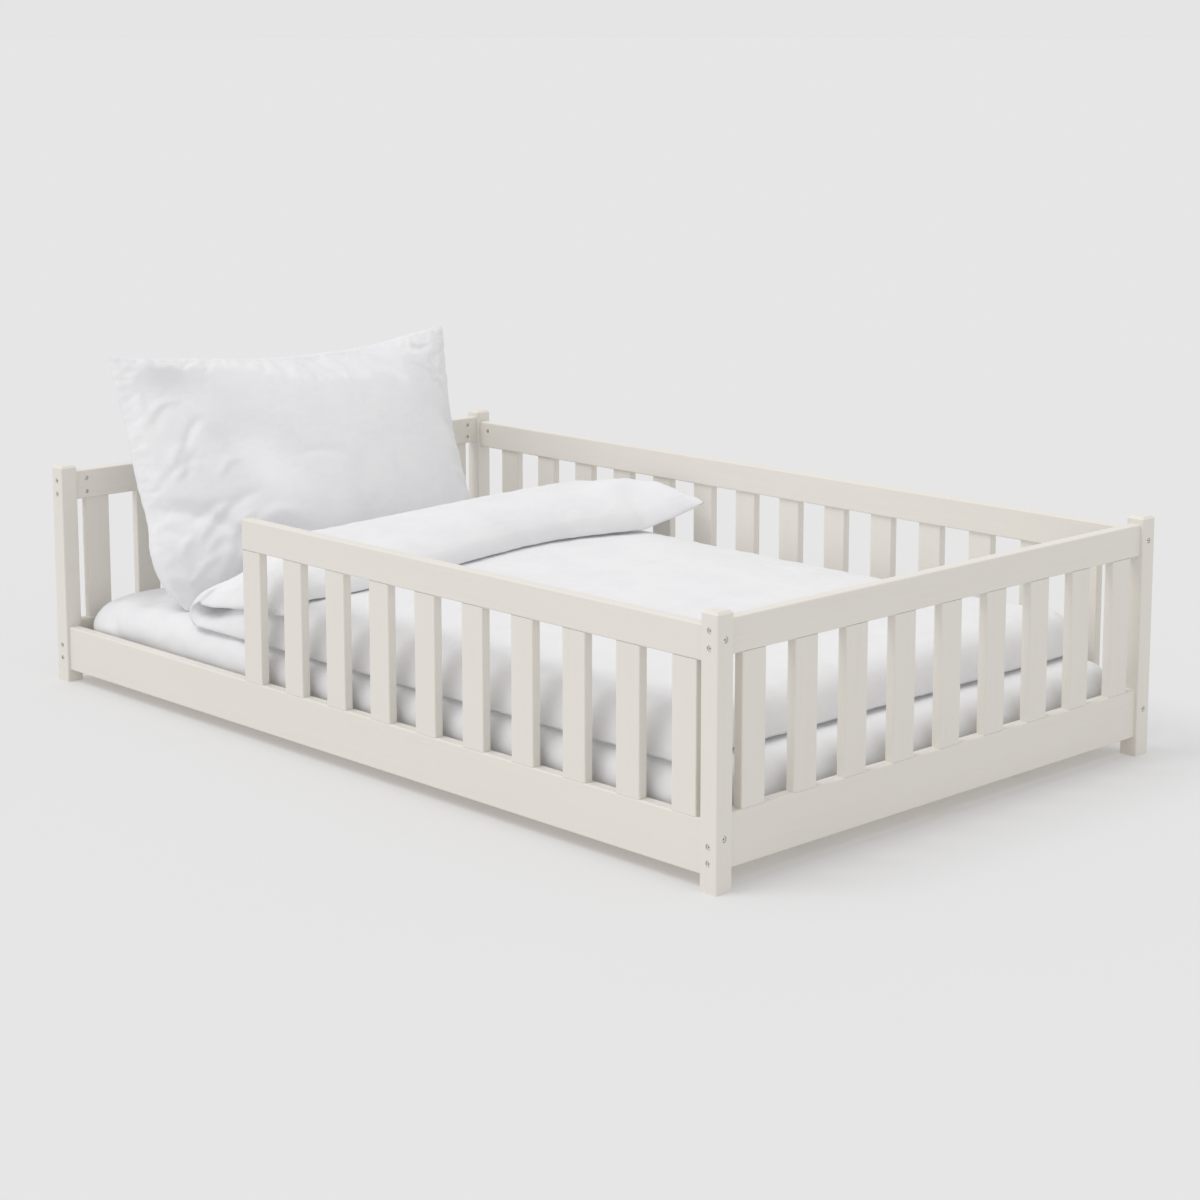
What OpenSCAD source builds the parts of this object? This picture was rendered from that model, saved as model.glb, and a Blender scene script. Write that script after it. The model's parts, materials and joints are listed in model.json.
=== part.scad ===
// Low toddler bed with slatted fence panels on all four sides, an entrance gap
// at the head end of the front panel, a loose slatted base, and its bedding.
// The head is at -X, the foot at +X, the front (entrance) side at -Y and the
// back at +Y. The origin is on the floor, under the middle of the bed.

/* [Mattress] */
// Length of the mattress
mattress_l = 2000; // [1400:10:2400]
// Width of the mattress
mattress_w = 1200; // [800:10:1600]
// Thickness of the mattress
mattress_h = 120; // [80:5:150]
// Corner radius of the mattress, seen from above
mattress_r = 55; // [20:5:120]
// Space between the mattress and the line of the posts, on every side
mattress_gap = 5; // [4:1:30]
// Thickness of the fitted sheet
sheet_t = 1; // [0.5:0.1:2]
// How far the fitted sheet turns in under the mattress
sheet_hem = 60; // [30:5:120]

/* [Posts] */
// Side of the square corner post
post_w = 40; // [32:1:60]
// Height of the corner post
post_h = 500; // [420:5:700]
// Bevel around the top of the post
post_bevel = 5; // [1:0.5:10]
// Radius of the post's upright edges
post_r = 2.5; // [0.5:0.5:5]

/* [Rails and boards] */
// Thickness of the rails and boards
rail_t = 26; // [22:1:32]
// Radius of their long edges
rail_r = 3; // [1:0.5:5]
// Height of the top rails
rail_h = 65; // [52:1:90]
// Height of the bottom boards
board_h = 100; // [82:1:140]
// Height of the opening between board and top rail
opening_h = 280; // [220:5:400]
// Floor to the underside of the front and back boards
side_z = 28; // [20:1:40]
// How much higher the head and foot panels sit than the front and back ones
end_raise = 12; // [8:1:14]
// Length of the entrance gap, measured from the head post
entrance_l = 677; // [500:1:900]

/* [Fence slats] */
// Width of a fence slat
slat_w = 60; // [48:1:74]
// Thickness of a fence slat
slat_t = 20; // [16:1:22]
// Radius of the slat's upright edges
slat_r = 2.5; // [0.5:0.5:4]
// Slats in the front panel
front_slats = 10; // [7:1:11]
// Slats in the back panel
back_slat_count = 14; // [9:1:15]
// Slats in each of the head and foot panels
end_slats = 9; // [5:1:10]
// Gap between the last slat and the post, head and foot panels
post_gap = 31; // [10:1:50]
// Gap between the front panel's last slat and the foot post
front_post_gap = 17; // [16:1:40]
// How far the slats are set back from the rails' outer faces
slat_set_back = 0.5; // [0:0.1:2]
// Length of the stub tenon at each end of a slat
tenon_l = 10; // [6:1:16]
// Width of the tenon
tenon_w = 44; // [30:1:44]
// Thickness of the tenon
tenon_t = 12; // [8:1:14]
// Radius of the tenon's edges
tenon_r = 4; // [1:0.5:4]

/* [Bolts and dowels] */
// Diameter of the frame bolts
bolt_d = 6; // [5:0.5:8]
// Length of a bolt under its head
bolt_l = 70; // [66:1:80]
// Diameter of the bolt head
bolt_head_d = 11; // [9:0.5:12]
// Height of the bolt head
bolt_head_h = 6; // [4:0.5:7]
// Depth of the counterbore that the head sits in
bolt_recess = 8; // [7:0.5:10]
// Size of the hex socket, across its flats
hex_flats = 4; // [3:0.5:5]
// Depth of the hex socket
hex_depth = 3.5; // [2:0.5:4]
// Diameter of the barrel nut
nut_d = 10; // [9:0.5:14]
// Length of the barrel nut
nut_l = 16; // [12:1:18]
// Distance from the end of a rail to its barrel nut
nut_inset = 30; // [24:1:33]
// Diameter of the dowels
dowel_d = 8; // [6:1:9]
// Length of the dowels
dowel_l = 40; // [30:2:48]
// From the top of the head and foot rails to their upper bolt
bolt_from_top = 19; // [14:1:20]
// Wood between a slat's tenon and the bore of the bolt above it
bolt_wall = 1.5; // [1:0.5:3]
// From the underside of the head and foot boards to their lower bolt
board_bolt_low = 14; // [10:1:16]
// Between the two bolts of a head or foot board
board_bolt_pitch = 30; // [24:1:32]
// Between a bolt and the next bore above or below it on the other face
cross_step = 14; // [12:1:16]

/* [Ledges and centre beam] */
// Width of the ledge that carries the slatted base
ledge_w = 30; // [24:1:45]
// Height of the ledge and of the centre beam
ledge_h = 28; // [24:1:40]
// From the underside of the board to the underside of the ledge
ledge_up = 1; // [0:1:6]
// Space left free at each end of a ledge
ledge_end = 5; // [2:1:30]
// Screws in each ledge
ledge_screws = 7; // [4:1:10]
// Width of the centre beam
beam_w = 40; // [35:1:60]
// Length of a foot under the centre beam, along the beam
foot_l = 60; // [40:1:80]
// Distance from the beam's end to the middle of its first foot
foot_inset = 180; // [100:1:300]
// Feet under the centre beam
foot_count = 4; // [3:1:6]
// Space between the centre beam and the head or foot board
beam_gap = 1; // [0.5:0.5:3]
// Length of each leg of the beam's angle brackets
bracket_leg = 30; // [24:1:40]
// Thickness of the bracket's metal
bracket_t = 2; // [1.5:0.5:3]

/* [Slatted base] */
// Width of a base slat
base_w = 70; // [50:1:90]
// Thickness of a base slat
base_t = 18; // [12:1:22]
// Base slats
base_count = 15; // [11:1:17]
// From the head or foot posts to the first base slat
base_end = 20; // [10:1:40]
// Free space at each end of a base slat
base_side_gap = 4; // [2:1:10]
// Width of the tapes that hold the base slats at their spacing
tape_w = 25; // [15:1:40]
// Thickness of the tapes
tape_t = 1.5; // [1:0.1:2]
// From the bed's middle line to a tape
tape_y = 330; // [150:5:330]

/* [Screws and staples] */
// Diameter of the wood screws
screw_d = 4; // [3.5:0.5:5]
// Length of the wood screws
screw_l = 45; // [40:1:50]
// Diameter of their countersunk heads
screw_head_d = 8; // [7:0.5:9]
// Depth of the screw heads up inside the feet
screw_recess = 3; // [1:0.5:6]
// Diameter of the bracket screws
small_d = 3; // [2.5:0.5:3.5]
// Length of the bracket screws
small_l = 14; // [10:1:16]
// Width of a staple
staple_w = 10; // [6:1:14]
// Length of a staple's legs
staple_leg = 9; // [5:1:10]
// Thickness of a staple's wire
staple_t = 1.2; // [0.8:0.1:1.6]

/* [Bedding] */
// From the middle of the bed to the fold of the turned-back duvet, at the head end
duvet_fold = 640; // [560:10:680]
// From the duvet's foot edge to the mattress's foot edge
duvet_foot_gap = 70; // [10:5:120]
// From the duvet's side edge to the mattress's side edge
duvet_side_gap = 4; // [2:1:40]
// Thickness of the duvet where it lies flat
duvet_t = 90; // [60:5:95]
// Radius of the duvet's edges
duvet_r = 38; // [20:1:40]
// Length of the turned-back layer
flap_l = 370; // [260:10:420]
// Height of the fold above the fitted sheet
fold_h = 186; // [150:2:200]
// Width of the pillow
pillow_w = 960; // [600:10:960]
// Height of the pillow along its slant
pillow_l = 645; // [520:5:680]
// Lean of the pillow towards the head, from upright
pillow_lean = 32; // [27:1:34]
// Swell of the pillow's front face
pillow_front = 95; // [60:5:110]
// Swell of the pillow's back face
pillow_back = 118; // [80:2:118]
// From the middle of the bed to the pillow's lower seam
pillow_x = 690; // [680:5:700]
// How far the pillow lies towards the front side
pillow_shift = 50; // [0:5:60]

/* [Fits] */
// Clearance around a tenon in its mortise
tenon_fit = 0.2; // [0.1:0.1:0.5]
// Radial clearance of a bolt in its hole
bolt_fit = 0.5; // [0.3:0.1:1]
// Radial clearance of a bolt head in its counterbore
head_fit = 0.5; // [0.3:0.1:1]
// Radial clearance of barrel nuts, dowels and screws
snug_fit = 0.1; // [0.05:0.05:0.2]
// Space left at the blind end of a bore
blind_fit = 2; // [1:0.5:3]
// Clearance between loose soft pieces
soft_fit = 0.3; // [0.2:0.1:1]

/* [Hidden] */
$fn = 48;
// Extra length that carries a cut past a face
cut = 1;

// Plan
span_x = mattress_l + 2 * mattress_gap;
span_y = mattress_w + 2 * mattress_gap;
post_x = span_x / 2 + post_w / 2;
post_y = span_y / 2 + post_w / 2;
inner_x = post_x - rail_t / 2;
inner_y = post_y - rail_t / 2;
entrance_x = -span_x / 2 + entrance_l;

// Heights of the two kinds of panel
panel_h = board_h + opening_h + rail_h;
end_z = side_z + end_raise;
side_top = side_z + panel_h;
end_top = end_z + panel_h;

// How far the slats stand outwards of the panels' middle
slat_out = (rail_t - slat_t) / 2 - slat_set_back;

// Slat centres along each panel
front_pitch = (span_x / 2 - front_post_gap - slat_w - entrance_x) / (front_slats - 1);
back_gap = (span_x - back_slat_count * slat_w) / (back_slat_count + 1);
end_pitch = (span_y - 2 * post_gap - slat_w) / (end_slats - 1);
front_us = [for (k = [0:front_slats - 1]) entrance_x + slat_w / 2 + k * front_pitch];
back_us = [for (k = [1:back_slat_count]) -span_x / 2 + k * (back_gap + slat_w) - slat_w / 2];
end_us = [for (k = [0:end_slats - 1]) -span_y / 2 + post_gap + slat_w / 2 + k * end_pitch];

// Heights of the bolts and dowels, set so that bores from two faces never meet
end_rail_under = end_top - rail_h;
end_rail_low = end_rail_under + tenon_l + tenon_fit + bolt_d / 2 + bolt_fit + bolt_wall;
end_rail_bolts = [end_top - bolt_from_top, end_rail_low];
end_board_bolts = [end_z + board_bolt_low + board_bolt_pitch, end_z + board_bolt_low];
side_rail_bolt = (end_rail_bolts[0] + end_rail_low) / 2;
side_rail_dowel = end_rail_low - cross_step;
side_board_bolt = end_board_bolts[0] + cross_step;
side_board_dowel = (end_board_bolts[0] + end_board_bolts[1]) / 2;

// Bores
bolt_bore_d = bolt_d + 2 * bolt_fit;
head_bore_d = bolt_head_d + 2 * head_fit;
bolt_reach = bolt_l - (post_w - bolt_recess);
nut_bore_d = nut_d + 2 * snug_fit;
nut_bore_l = rail_t / 2 + nut_l / 2 + snug_fit;
dowel_bore_d = dowel_d + 2 * snug_fit;
dowel_bore_l = dowel_l / 2 + snug_fit;

// Ledges, beam and slatted base
ledge_z = side_z + ledge_up;
base_z = ledge_z + ledge_h;
base_top = base_z + base_t;
ledge_l = span_x - 2 * ledge_end;
beam_l = 2 * (inner_x - beam_gap);
foot_x = beam_l / 2 - foot_inset;
bracket_z = end_z + 1;
bracket_h = base_z - 1 - bracket_z;
base_first = -span_x / 2 + base_end + base_w / 2;
base_pitch = -2 * base_first / (base_count - 1);
base_l = 2 * (inner_y - base_side_gap);
wood_head_h = (screw_head_d - screw_d) / 2;

// Bedding
mattress_z = base_top + sheet_t + 2 * soft_fit;
sheet_grow = soft_fit + sheet_t;
cover_z = mattress_z + mattress_h + sheet_grow + soft_fit;
duvet_l = duvet_fold + mattress_l / 2 - duvet_foot_gap;
duvet_w = mattress_w - 2 * duvet_side_gap;
fold_r = fold_h / 2;

// Colours
paint = [0.88, 0.87, 0.84];
pine = [0.85, 0.73, 0.55];
zinc = [0.78, 0.79, 0.8];
webbing = [0.55, 0.56, 0.58];
foam = [0.93, 0.93, 0.9];
cotton = [0.95, 0.95, 0.95];

// ---- Places: a panel is drawn along X, with its outer face towards +Y ----

module at_back() translate([0, post_y, 0]) children();

module at_front() mirror([0, 1, 0]) at_back() children();

module at_foot() rotate([0, 0, -90]) translate([0, post_x, 0]) children();

module at_head() mirror([1, 0, 0]) at_foot() children();

// One of the bed's four corners: children are drawn for the +X +Y corner
module at_corner(sx, sy)
    mirror([sx < 0 ? 1 : 0, 0, 0])
        mirror([0, sy < 0 ? 1 : 0, 0])
            children();

// ---- Shapes ----

// Rectangle with rounded corners, centred
module rounded_rect(w, h, r) {
    square([w - 2 * r, h], center = true);
    square([w, h - 2 * r], center = true);
    for (x = [-1, 1], y = [-1, 1])
        translate([x * (w / 2 - r), y * (h / 2 - r)])
            circle(r = r);
}

// Bar along X from x0 to x1, standing on z0, centred in Y
module bar(x0, x1, z0, t, h, r)
    translate([(x0 + x1) / 2, 0, z0 + h / 2])
        rotate([90, 0, 90])
            linear_extrude(x1 - x0, center = true)
                rounded_rect(t, h, r);

// Side view of a post, bevelled at the top
module post_side()
    polygon([
        [-post_w / 2, 0], [post_w / 2, 0],
        [post_w / 2, post_h - post_bevel], [post_w / 2 - post_bevel, post_h],
        [post_bevel - post_w / 2, post_h], [-post_w / 2, post_h - post_bevel]
    ]);

module post_blank()
    intersection() {
        linear_extrude(post_h)
            rounded_rect(post_w, post_w, post_r);
        rotate([90, 0, 0])
            linear_extrude(post_w + 2 * cut, center = true)
                post_side();
        rotate([90, 0, 90])
            linear_extrude(post_w + 2 * cut, center = true)
                post_side();
    }

// Bolt bore that enters a post's +X face at height z, with its counterbore
module post_bolt_bore(z)
    translate([post_w / 2 + cut, 0, z])
        rotate([0, -90, 0]) {
            cylinder(d = bolt_bore_d, h = post_w + 2 * cut);
            cylinder(d = head_bore_d, h = bolt_recess + cut);
        }

// Corner post of the +X +Y corner; side_rail is false where no side rail meets it
module post(side_rail) {
    side_bolts = side_rail ? [side_rail_bolt, side_board_bolt] : [side_board_bolt];
    side_dowels = side_rail ? [side_rail_dowel, side_board_dowel] : [side_board_dowel];
    color(paint)
        translate([post_x, post_y, 0])
            difference() {
                post_blank();
                for (z = concat(end_rail_bolts, end_board_bolts))
                    rotate([0, 0, 90])
                        post_bolt_bore(z);
                for (z = side_bolts)
                    post_bolt_bore(z);
                for (z = side_dowels)
                    translate([-post_w / 2 - cut, 0, z])
                        rotate([0, 90, 0])
                            cylinder(d = dowel_bore_d, h = dowel_bore_l + cut);
            }
}

// Bores in the end of a rail that stops at x1: bolts with their barrel nuts, and dowels
module rail_end_bores(x1, bolts, dowels) {
    for (z = bolts) {
        translate([x1 + cut, 0, z])
            rotate([0, -90, 0])
                cylinder(d = bolt_bore_d, h = bolt_reach + blind_fit + cut);
        translate([x1 - nut_inset, -rail_t / 2 - cut, z])
            rotate([-90, 0, 0])
                cylinder(d = nut_bore_d, h = nut_bore_l + cut);
    }
    for (z = dowels)
        translate([x1 + cut, 0, z])
            rotate([0, -90, 0])
                cylinder(d = dowel_bore_d, h = dowel_bore_l + cut);
}

// Mortises for slats centred at xs, cut up (dir 1) or down (dir -1) from the face at z
module mortises(xs, z, dir)
    for (x = xs)
        translate([x, 0, dir > 0 ? z - cut : z - tenon_l - tenon_fit])
            linear_extrude(tenon_l + tenon_fit + cut)
                rounded_rect(tenon_w + 2 * tenon_fit, tenon_t + 2 * tenon_fit, tenon_r);

// Slat with its two stub tenons, between a board's top and a rail's underside
module fence_slat(x, board_top)
    color(paint)
        translate([x, 0, board_top]) {
            translate([0, slat_out, 0])
                linear_extrude(opening_h)
                    rounded_rect(slat_w, slat_t, slat_r);
            translate([0, 0, -tenon_l])
                linear_extrude(opening_h + 2 * tenon_l)
                    rounded_rect(tenon_w, tenon_t, tenon_r);
        }

// Hex-socket bolt that enters a face at x = 0 and runs towards -X
module bolt()
    rotate([0, -90, 0]) {
        difference() {
            translate([0, 0, bolt_recess - bolt_head_h])
                cylinder(d = bolt_head_d, h = bolt_head_h);
            translate([0, 0, bolt_recess - bolt_head_h - cut])
                cylinder(d = hex_flats / cos(30), h = hex_depth + cut, $fn = 6);
        }
        translate([0, 0, bolt_recess])
            cylinder(d = bolt_d, h = bolt_l);
    }

// Barrel nut across a rail, centred on the bolt's axis
module barrel_nut(x, z)
    translate([x, 0, z])
        difference() {
            rotate([90, 0, 0])
                cylinder(d = nut_d, h = nut_l, center = true);
            rotate([0, 90, 0])
                cylinder(d = bolt_d + 2 * snug_fit, h = nut_d + 2 * cut, center = true);
        }

// Countersunk screw, its head's face at z = 0, running up; grow makes its bore
module countersunk(d, head_d, l, grow = 0) {
    head_h = (head_d - d) / 2;
    cylinder(d1 = head_d + 2 * grow, d2 = d + 2 * grow, h = head_h);
    cylinder(d = d + 2 * grow, h = l - d + grow);
    translate([0, 0, l - d + grow])
        cylinder(d1 = d + 2 * grow, d2 = d / 4, h = d);
}

module wood_screw(grow = 0) countersunk(screw_d, screw_head_d, screw_l, grow);

module small_screw(grow = 0) countersunk(small_d, 2 * small_d, small_l, grow);

// ---- Posts ----

module post_head_near() at_corner(-1, -1) post(false);

module post_head_far() at_corner(-1, 1) post(true);

module post_foot_near() at_corner(1, -1) post(true);

module post_foot_far() at_corner(1, 1) post(true);

// ---- Rails and boards ----

// Top rail of a panel, bolted at its +X end and, if both is true, at its -X end too
module top_rail(x0, x1, top, xs, bolts, dowels, both)
    color(paint)
        difference() {
            intersection() {
                bar(x0, x1, top - rail_h, rail_t, rail_h, rail_r);
                translate([(x0 + x1) / 2, 0, top - rail_h - cut])
                    linear_extrude(rail_h + 2 * cut)
                        rounded_rect(x1 - x0, rail_t + cut, both ? cut / 2 : rail_r);
            }
            mortises(xs, top - rail_h, 1);
            rail_end_bores(x1, bolts, dowels);
            if (both)
                mirror([1, 0, 0])
                    rail_end_bores(-x0, bolts, dowels);
        }

// Bottom board of a panel, bolted at both ends
module bottom_board(span, z, xs, bolts, dowels)
    color(paint)
        difference() {
            bar(-span / 2, span / 2, z, rail_t, board_h, rail_r);
            mortises(xs, z + board_h, -1);
            for (end = [0, 1])
                mirror([end, 0, 0])
                    rail_end_bores(span / 2, bolts, dowels);
        }

// Places of the screws that hold a ledge to its board
module ledge_screw_places(grow)
    for (k = [0:ledge_screws - 1])
        translate([
            (k / (ledge_screws - 1) - 0.5) * (ledge_l - 2 * base_w),
            -rail_t / 2 - ledge_w,
            ledge_z + ledge_h / 2
        ])
            rotate([-90, 0, 0])
                wood_screw(grow);

// Bottom board of the front or back panel, with its ledge's screw bores
module side_board(xs)
    color(paint)
        difference() {
            bottom_board(span_x, side_z, xs, [side_board_bolt], [side_board_dowel]);
            ledge_screw_places(snug_fit);
        }

// Places of the screws in one angle bracket of the +X +Y quarter of the beam
module bracket_screw_places(grow) {
    z = bracket_z + bracket_h / 2;
    reach = bracket_leg / 2 + bracket_t;
    translate([inner_x - reach, beam_w / 2 + bracket_t, z])
        rotate([90, 0, 0])
            small_screw(grow);
    translate([inner_x - bracket_t, beam_w / 2 + reach, z])
        rotate([0, 90, 0])
            small_screw(grow);
}

// Bottom board of the head or foot panel, with the bracket's screw bores
module end_board()
    difference() {
        at_foot()
            bottom_board(span_y, end_z, end_us, end_board_bolts, []);
        for (sy = [-1, 1])
            at_corner(1, sy)
                bracket_screw_places(snug_fit);
    }

module front_top_rail()
    at_front()
        top_rail(entrance_x, span_x / 2, side_top, front_us,
            [side_rail_bolt], [side_rail_dowel], false);

module front_bottom_board() at_front() side_board(front_us);

module back_top_rail()
    at_back()
        top_rail(-span_x / 2, span_x / 2, side_top, back_us,
            [side_rail_bolt], [side_rail_dowel], true);

module back_bottom_board() at_back() side_board(back_us);

module end_top_rail()
    top_rail(-span_y / 2, span_y / 2, end_top, end_us, end_rail_bolts, [], true);

module head_top_rail() at_head() end_top_rail();

module foot_top_rail() at_foot() end_top_rail();

module head_bottom_board() mirror([1, 0, 0]) color(paint) end_board();

module foot_bottom_board() color(paint) end_board();

// ---- Fence slats, numbered from the entrance gap or from the front side ----

module front_slat(k) at_front() fence_slat(front_us[k - 1], side_z + board_h);

module head_slat(k) at_head() fence_slat(-end_us[k - 1], end_z + board_h);

module foot_slat(k) at_foot() fence_slat(-end_us[k - 1], end_z + board_h);

module back_slats()
    at_back()
        for (x = back_us)
            fence_slat(x, side_z + board_h);

// ---- Ledges and centre beam ----

// Ledge on the inner face of the back panel's board
module ledge()
    color(pine)
        difference() {
            translate([0, -rail_t / 2 - ledge_w / 2, 0])
                bar(-ledge_l / 2, ledge_l / 2, ledge_z, ledge_w, ledge_h, post_r);
            ledge_screw_places(snug_fit);
        }

module ledge_near() at_front() ledge();

module ledge_far() at_back() ledge();

// Places of the feet along the beam
module foot_places()
    for (k = [0:foot_count - 1])
        translate([(2 * k / (foot_count - 1) - 1) * foot_x, 0, 0])
            children();

// Screw that comes up through a foot into the beam
module foot_screw(grow = 0)
    translate([0, 0, screw_recess])
        wood_screw(grow);

module centre_beam()
    color(pine)
        difference() {
            bar(-beam_l / 2, beam_l / 2, ledge_z, beam_w, ledge_h, post_r);
            foot_places()
                foot_screw(snug_fit);
            for (sx = [-1, 1], sy = [-1, 1])
                at_corner(sx, sy)
                    bracket_screw_places(snug_fit);
        }

module beam_feet()
    color(pine)
        foot_places()
            difference() {
                linear_extrude(ledge_z)
                    rounded_rect(foot_l, beam_w, post_r);
                foot_screw(snug_fit);
                translate([0, 0, -cut])
                    cylinder(d = screw_head_d + 2 * snug_fit, h = screw_recess + cut);
            }

module beam_brackets()
    color(zinc)
        for (sx = [-1, 1], sy = [-1, 1])
            at_corner(sx, sy)
                difference() {
                    translate([inner_x, beam_w / 2, bracket_z])
                        linear_extrude(bracket_h) {
                            translate([-bracket_leg, 0])
                                square([bracket_leg, bracket_t]);
                            translate([-bracket_t, 0])
                                square([bracket_t, bracket_leg]);
                        }
                    bracket_screw_places(snug_fit);
                }

// ---- Slatted base ----

// Places of the base slats along the bed
module base_places()
    for (k = [0:base_count - 1])
        translate([base_first + k * base_pitch, 0, base_z])
            children();

module base_slats()
    color(pine)
        base_places()
            rotate([0, 0, 90])
                bar(-base_l / 2, base_l / 2, 0, base_w, base_t, post_r);

module base_tapes()
    color(webbing)
        for (sy = [-1, 1])
            translate([base_first - base_w / 2, sy * tape_y - tape_w / 2, base_z - tape_t])
                cube([-2 * base_first + base_w, tape_w, tape_t]);

// Staple under a tape, its legs pressed up through the tape into the slat
module staple() {
    translate([-staple_w / 2, -staple_t / 2, -tape_t - staple_t])
        cube([staple_w, staple_t, staple_t]);
    for (x = [-staple_w / 2, staple_w / 2 - staple_t])
        translate([x, -staple_t / 2, -tape_t - staple_t])
            cube([staple_t, staple_t, staple_leg + tape_t]);
}

module base_staples()
    color(zinc)
        base_places()
            for (sy = [-1, 1])
                translate([0, sy * tape_y, 0])
                    staple();

// ---- Fasteners ----

// Bolts along Y, through the posts into the head and foot panels
module end_bolts()
    color(zinc)
        for (sx = [-1, 1], sy = [-1, 1], z = concat(end_rail_bolts, end_board_bolts))
            at_corner(sx, sy)
                translate([post_x, post_y + post_w / 2, z])
                    rotate([0, 0, 90])
                        bolt();

// Corners where a side rail meets its post; the entrance gap leaves one out
rail_corners = [[1, -1], [1, 1], [-1, 1]];
board_corners = concat(rail_corners, [[-1, -1]]);

// Places of the side panels' joints at height z, at the post's outer face
module side_joint_places(corners, z)
    for (c = corners)
        at_corner(c[0], c[1])
            translate([post_x, post_y, z])
                children();

// Bolts along X, through the posts into the front and back panels
module side_bolts()
    color(zinc) {
        side_joint_places(rail_corners, side_rail_bolt)
            translate([post_w / 2, 0, 0])
                bolt();
        side_joint_places(board_corners, side_board_bolt)
            translate([post_w / 2, 0, 0])
                bolt();
    }

module barrel_nuts()
    color(zinc) {
        side_joint_places(rail_corners, side_rail_bolt)
            barrel_nut(-post_w / 2 - nut_inset, 0);
        side_joint_places(board_corners, side_board_bolt)
            barrel_nut(-post_w / 2 - nut_inset, 0);
        for (sx = [-1, 1], sy = [-1, 1], z = concat(end_rail_bolts, end_board_bolts))
            at_corner(sx, sy)
                at_foot()
                    barrel_nut(span_y / 2 - nut_inset, z);
    }

// Dowel across the joint between a post and a side rail
module dowel()
    translate([-post_w / 2, 0, 0])
        rotate([0, 90, 0])
            cylinder(d = dowel_d, h = dowel_l, center = true);

module dowels()
    color(pine) {
        side_joint_places(rail_corners, side_rail_dowel)
            dowel();
        side_joint_places(board_corners, side_board_dowel)
            dowel();
    }

module wood_screws()
    color(zinc) {
        at_front()
            ledge_screw_places(0);
        at_back()
            ledge_screw_places(0);
        foot_places()
            foot_screw();
    }

module bracket_screws()
    color(zinc)
        for (sx = [-1, 1], sy = [-1, 1])
            at_corner(sx, sy)
                bracket_screw_places(0);

// ---- Bedding ----

// The mattress's block, grown on every side
module mattress_block(grow)
    translate([0, 0, mattress_z - grow])
        linear_extrude(mattress_h + 2 * grow)
            rounded_rect(mattress_l + 2 * grow, mattress_w + 2 * grow, mattress_r + grow);

module mattress() color(foam) mattress_block(0);

// Skin over the mattress's top and sides, turned in under its edges
module fitted_sheet()
    color(cotton)
        difference() {
            mattress_block(sheet_grow);
            mattress_block(soft_fit);
            translate([0, 0, mattress_z - sheet_grow - cut])
                linear_extrude(sheet_grow + 2 * cut)
                    rounded_rect(mattress_l - 2 * sheet_hem, mattress_w - 2 * sheet_hem, mattress_r);
        }

// Points of an arc around c, from angle a0 to a1
function arc(c, r, a0, a1, steps = 8) =
    [for (k = [0:steps]) c + r * [cos(a0 + k * (a1 - a0) / steps), sin(a0 + k * (a1 - a0) / steps)]];

// Side view of the duvet, from its fold: flat layer, turned-back layer, round fold
module duvet_side()
    polygon(concat(
        arc([duvet_l - duvet_r, duvet_r], duvet_r, -90, 0),
        arc([duvet_l - duvet_r, duvet_t - duvet_r], duvet_r, 0, 90),
        [[flap_l + duvet_r / 2, duvet_t], [flap_l, duvet_t + duvet_r / 2]],
        [[fold_r + flap_l / 3, fold_h - duvet_t / 6]],
        arc([fold_r, fold_r], fold_r, 80, 270, 20)
    ));

module duvet()
    color(cotton)
        translate([-duvet_fold, 0, cover_z])
            rotate([90, 0, 0])
                linear_extrude(duvet_w, center = true)
                    duvet_side();

// Disc that swells a face of the pillow out by s from the chord between its seams
module swell(s) {
    r = (pillow_l * pillow_l / 4 + s * s) / (2 * s);
    translate([s - r, pillow_l / 2])
        circle(r = r, $fn = 96);
}

// Lens-shaped pillow, standing on its lower seam and leaning on the head rail
module pillow()
    color(cotton)
        translate([-pillow_x, -pillow_shift, cover_z])
            rotate([90, -pillow_lean, 0])
                linear_extrude(pillow_w, center = true)
                    intersection() {
                        swell(pillow_front);
                        mirror([1, 0, 0])
                            swell(pillow_back);
                    }

// ---- Nodes ----

post_head_near();
post_head_far();
post_foot_near();
post_foot_far();
front_top_rail();
front_bottom_board();
back_top_rail();
back_bottom_board();
head_top_rail();
head_bottom_board();
foot_top_rail();
foot_bottom_board();
for (k = [1:front_slats])
    front_slat(k);
for (k = [1:end_slats])
    head_slat(k);
for (k = [1:end_slats])
    foot_slat(k);
back_slats();
ledge_near();
ledge_far();
centre_beam();
beam_feet();
beam_brackets();
base_slats();
base_tapes();
base_staples();
end_bolts();
side_bolts();
barrel_nuts();
dowels();
wood_screws();
bracket_screws();
mattress();
fitted_sheet();
duvet();
pillow();
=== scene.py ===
"""Finishes and soft goods of a low toddler bed: painted pine, steel fittings, cotton bedding.

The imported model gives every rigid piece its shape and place. This script dresses those
pieces, makes the mattress, fitted sheet, duvet and pillow as soft goods, and sets the
floor, the light and the camera. Lengths are in metres; helper mm() reads millimetres.
"""

from __future__ import annotations

import json
import logging
import math
from dataclasses import dataclass
from enum import Enum
from typing import Any, Callable, Sequence

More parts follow.
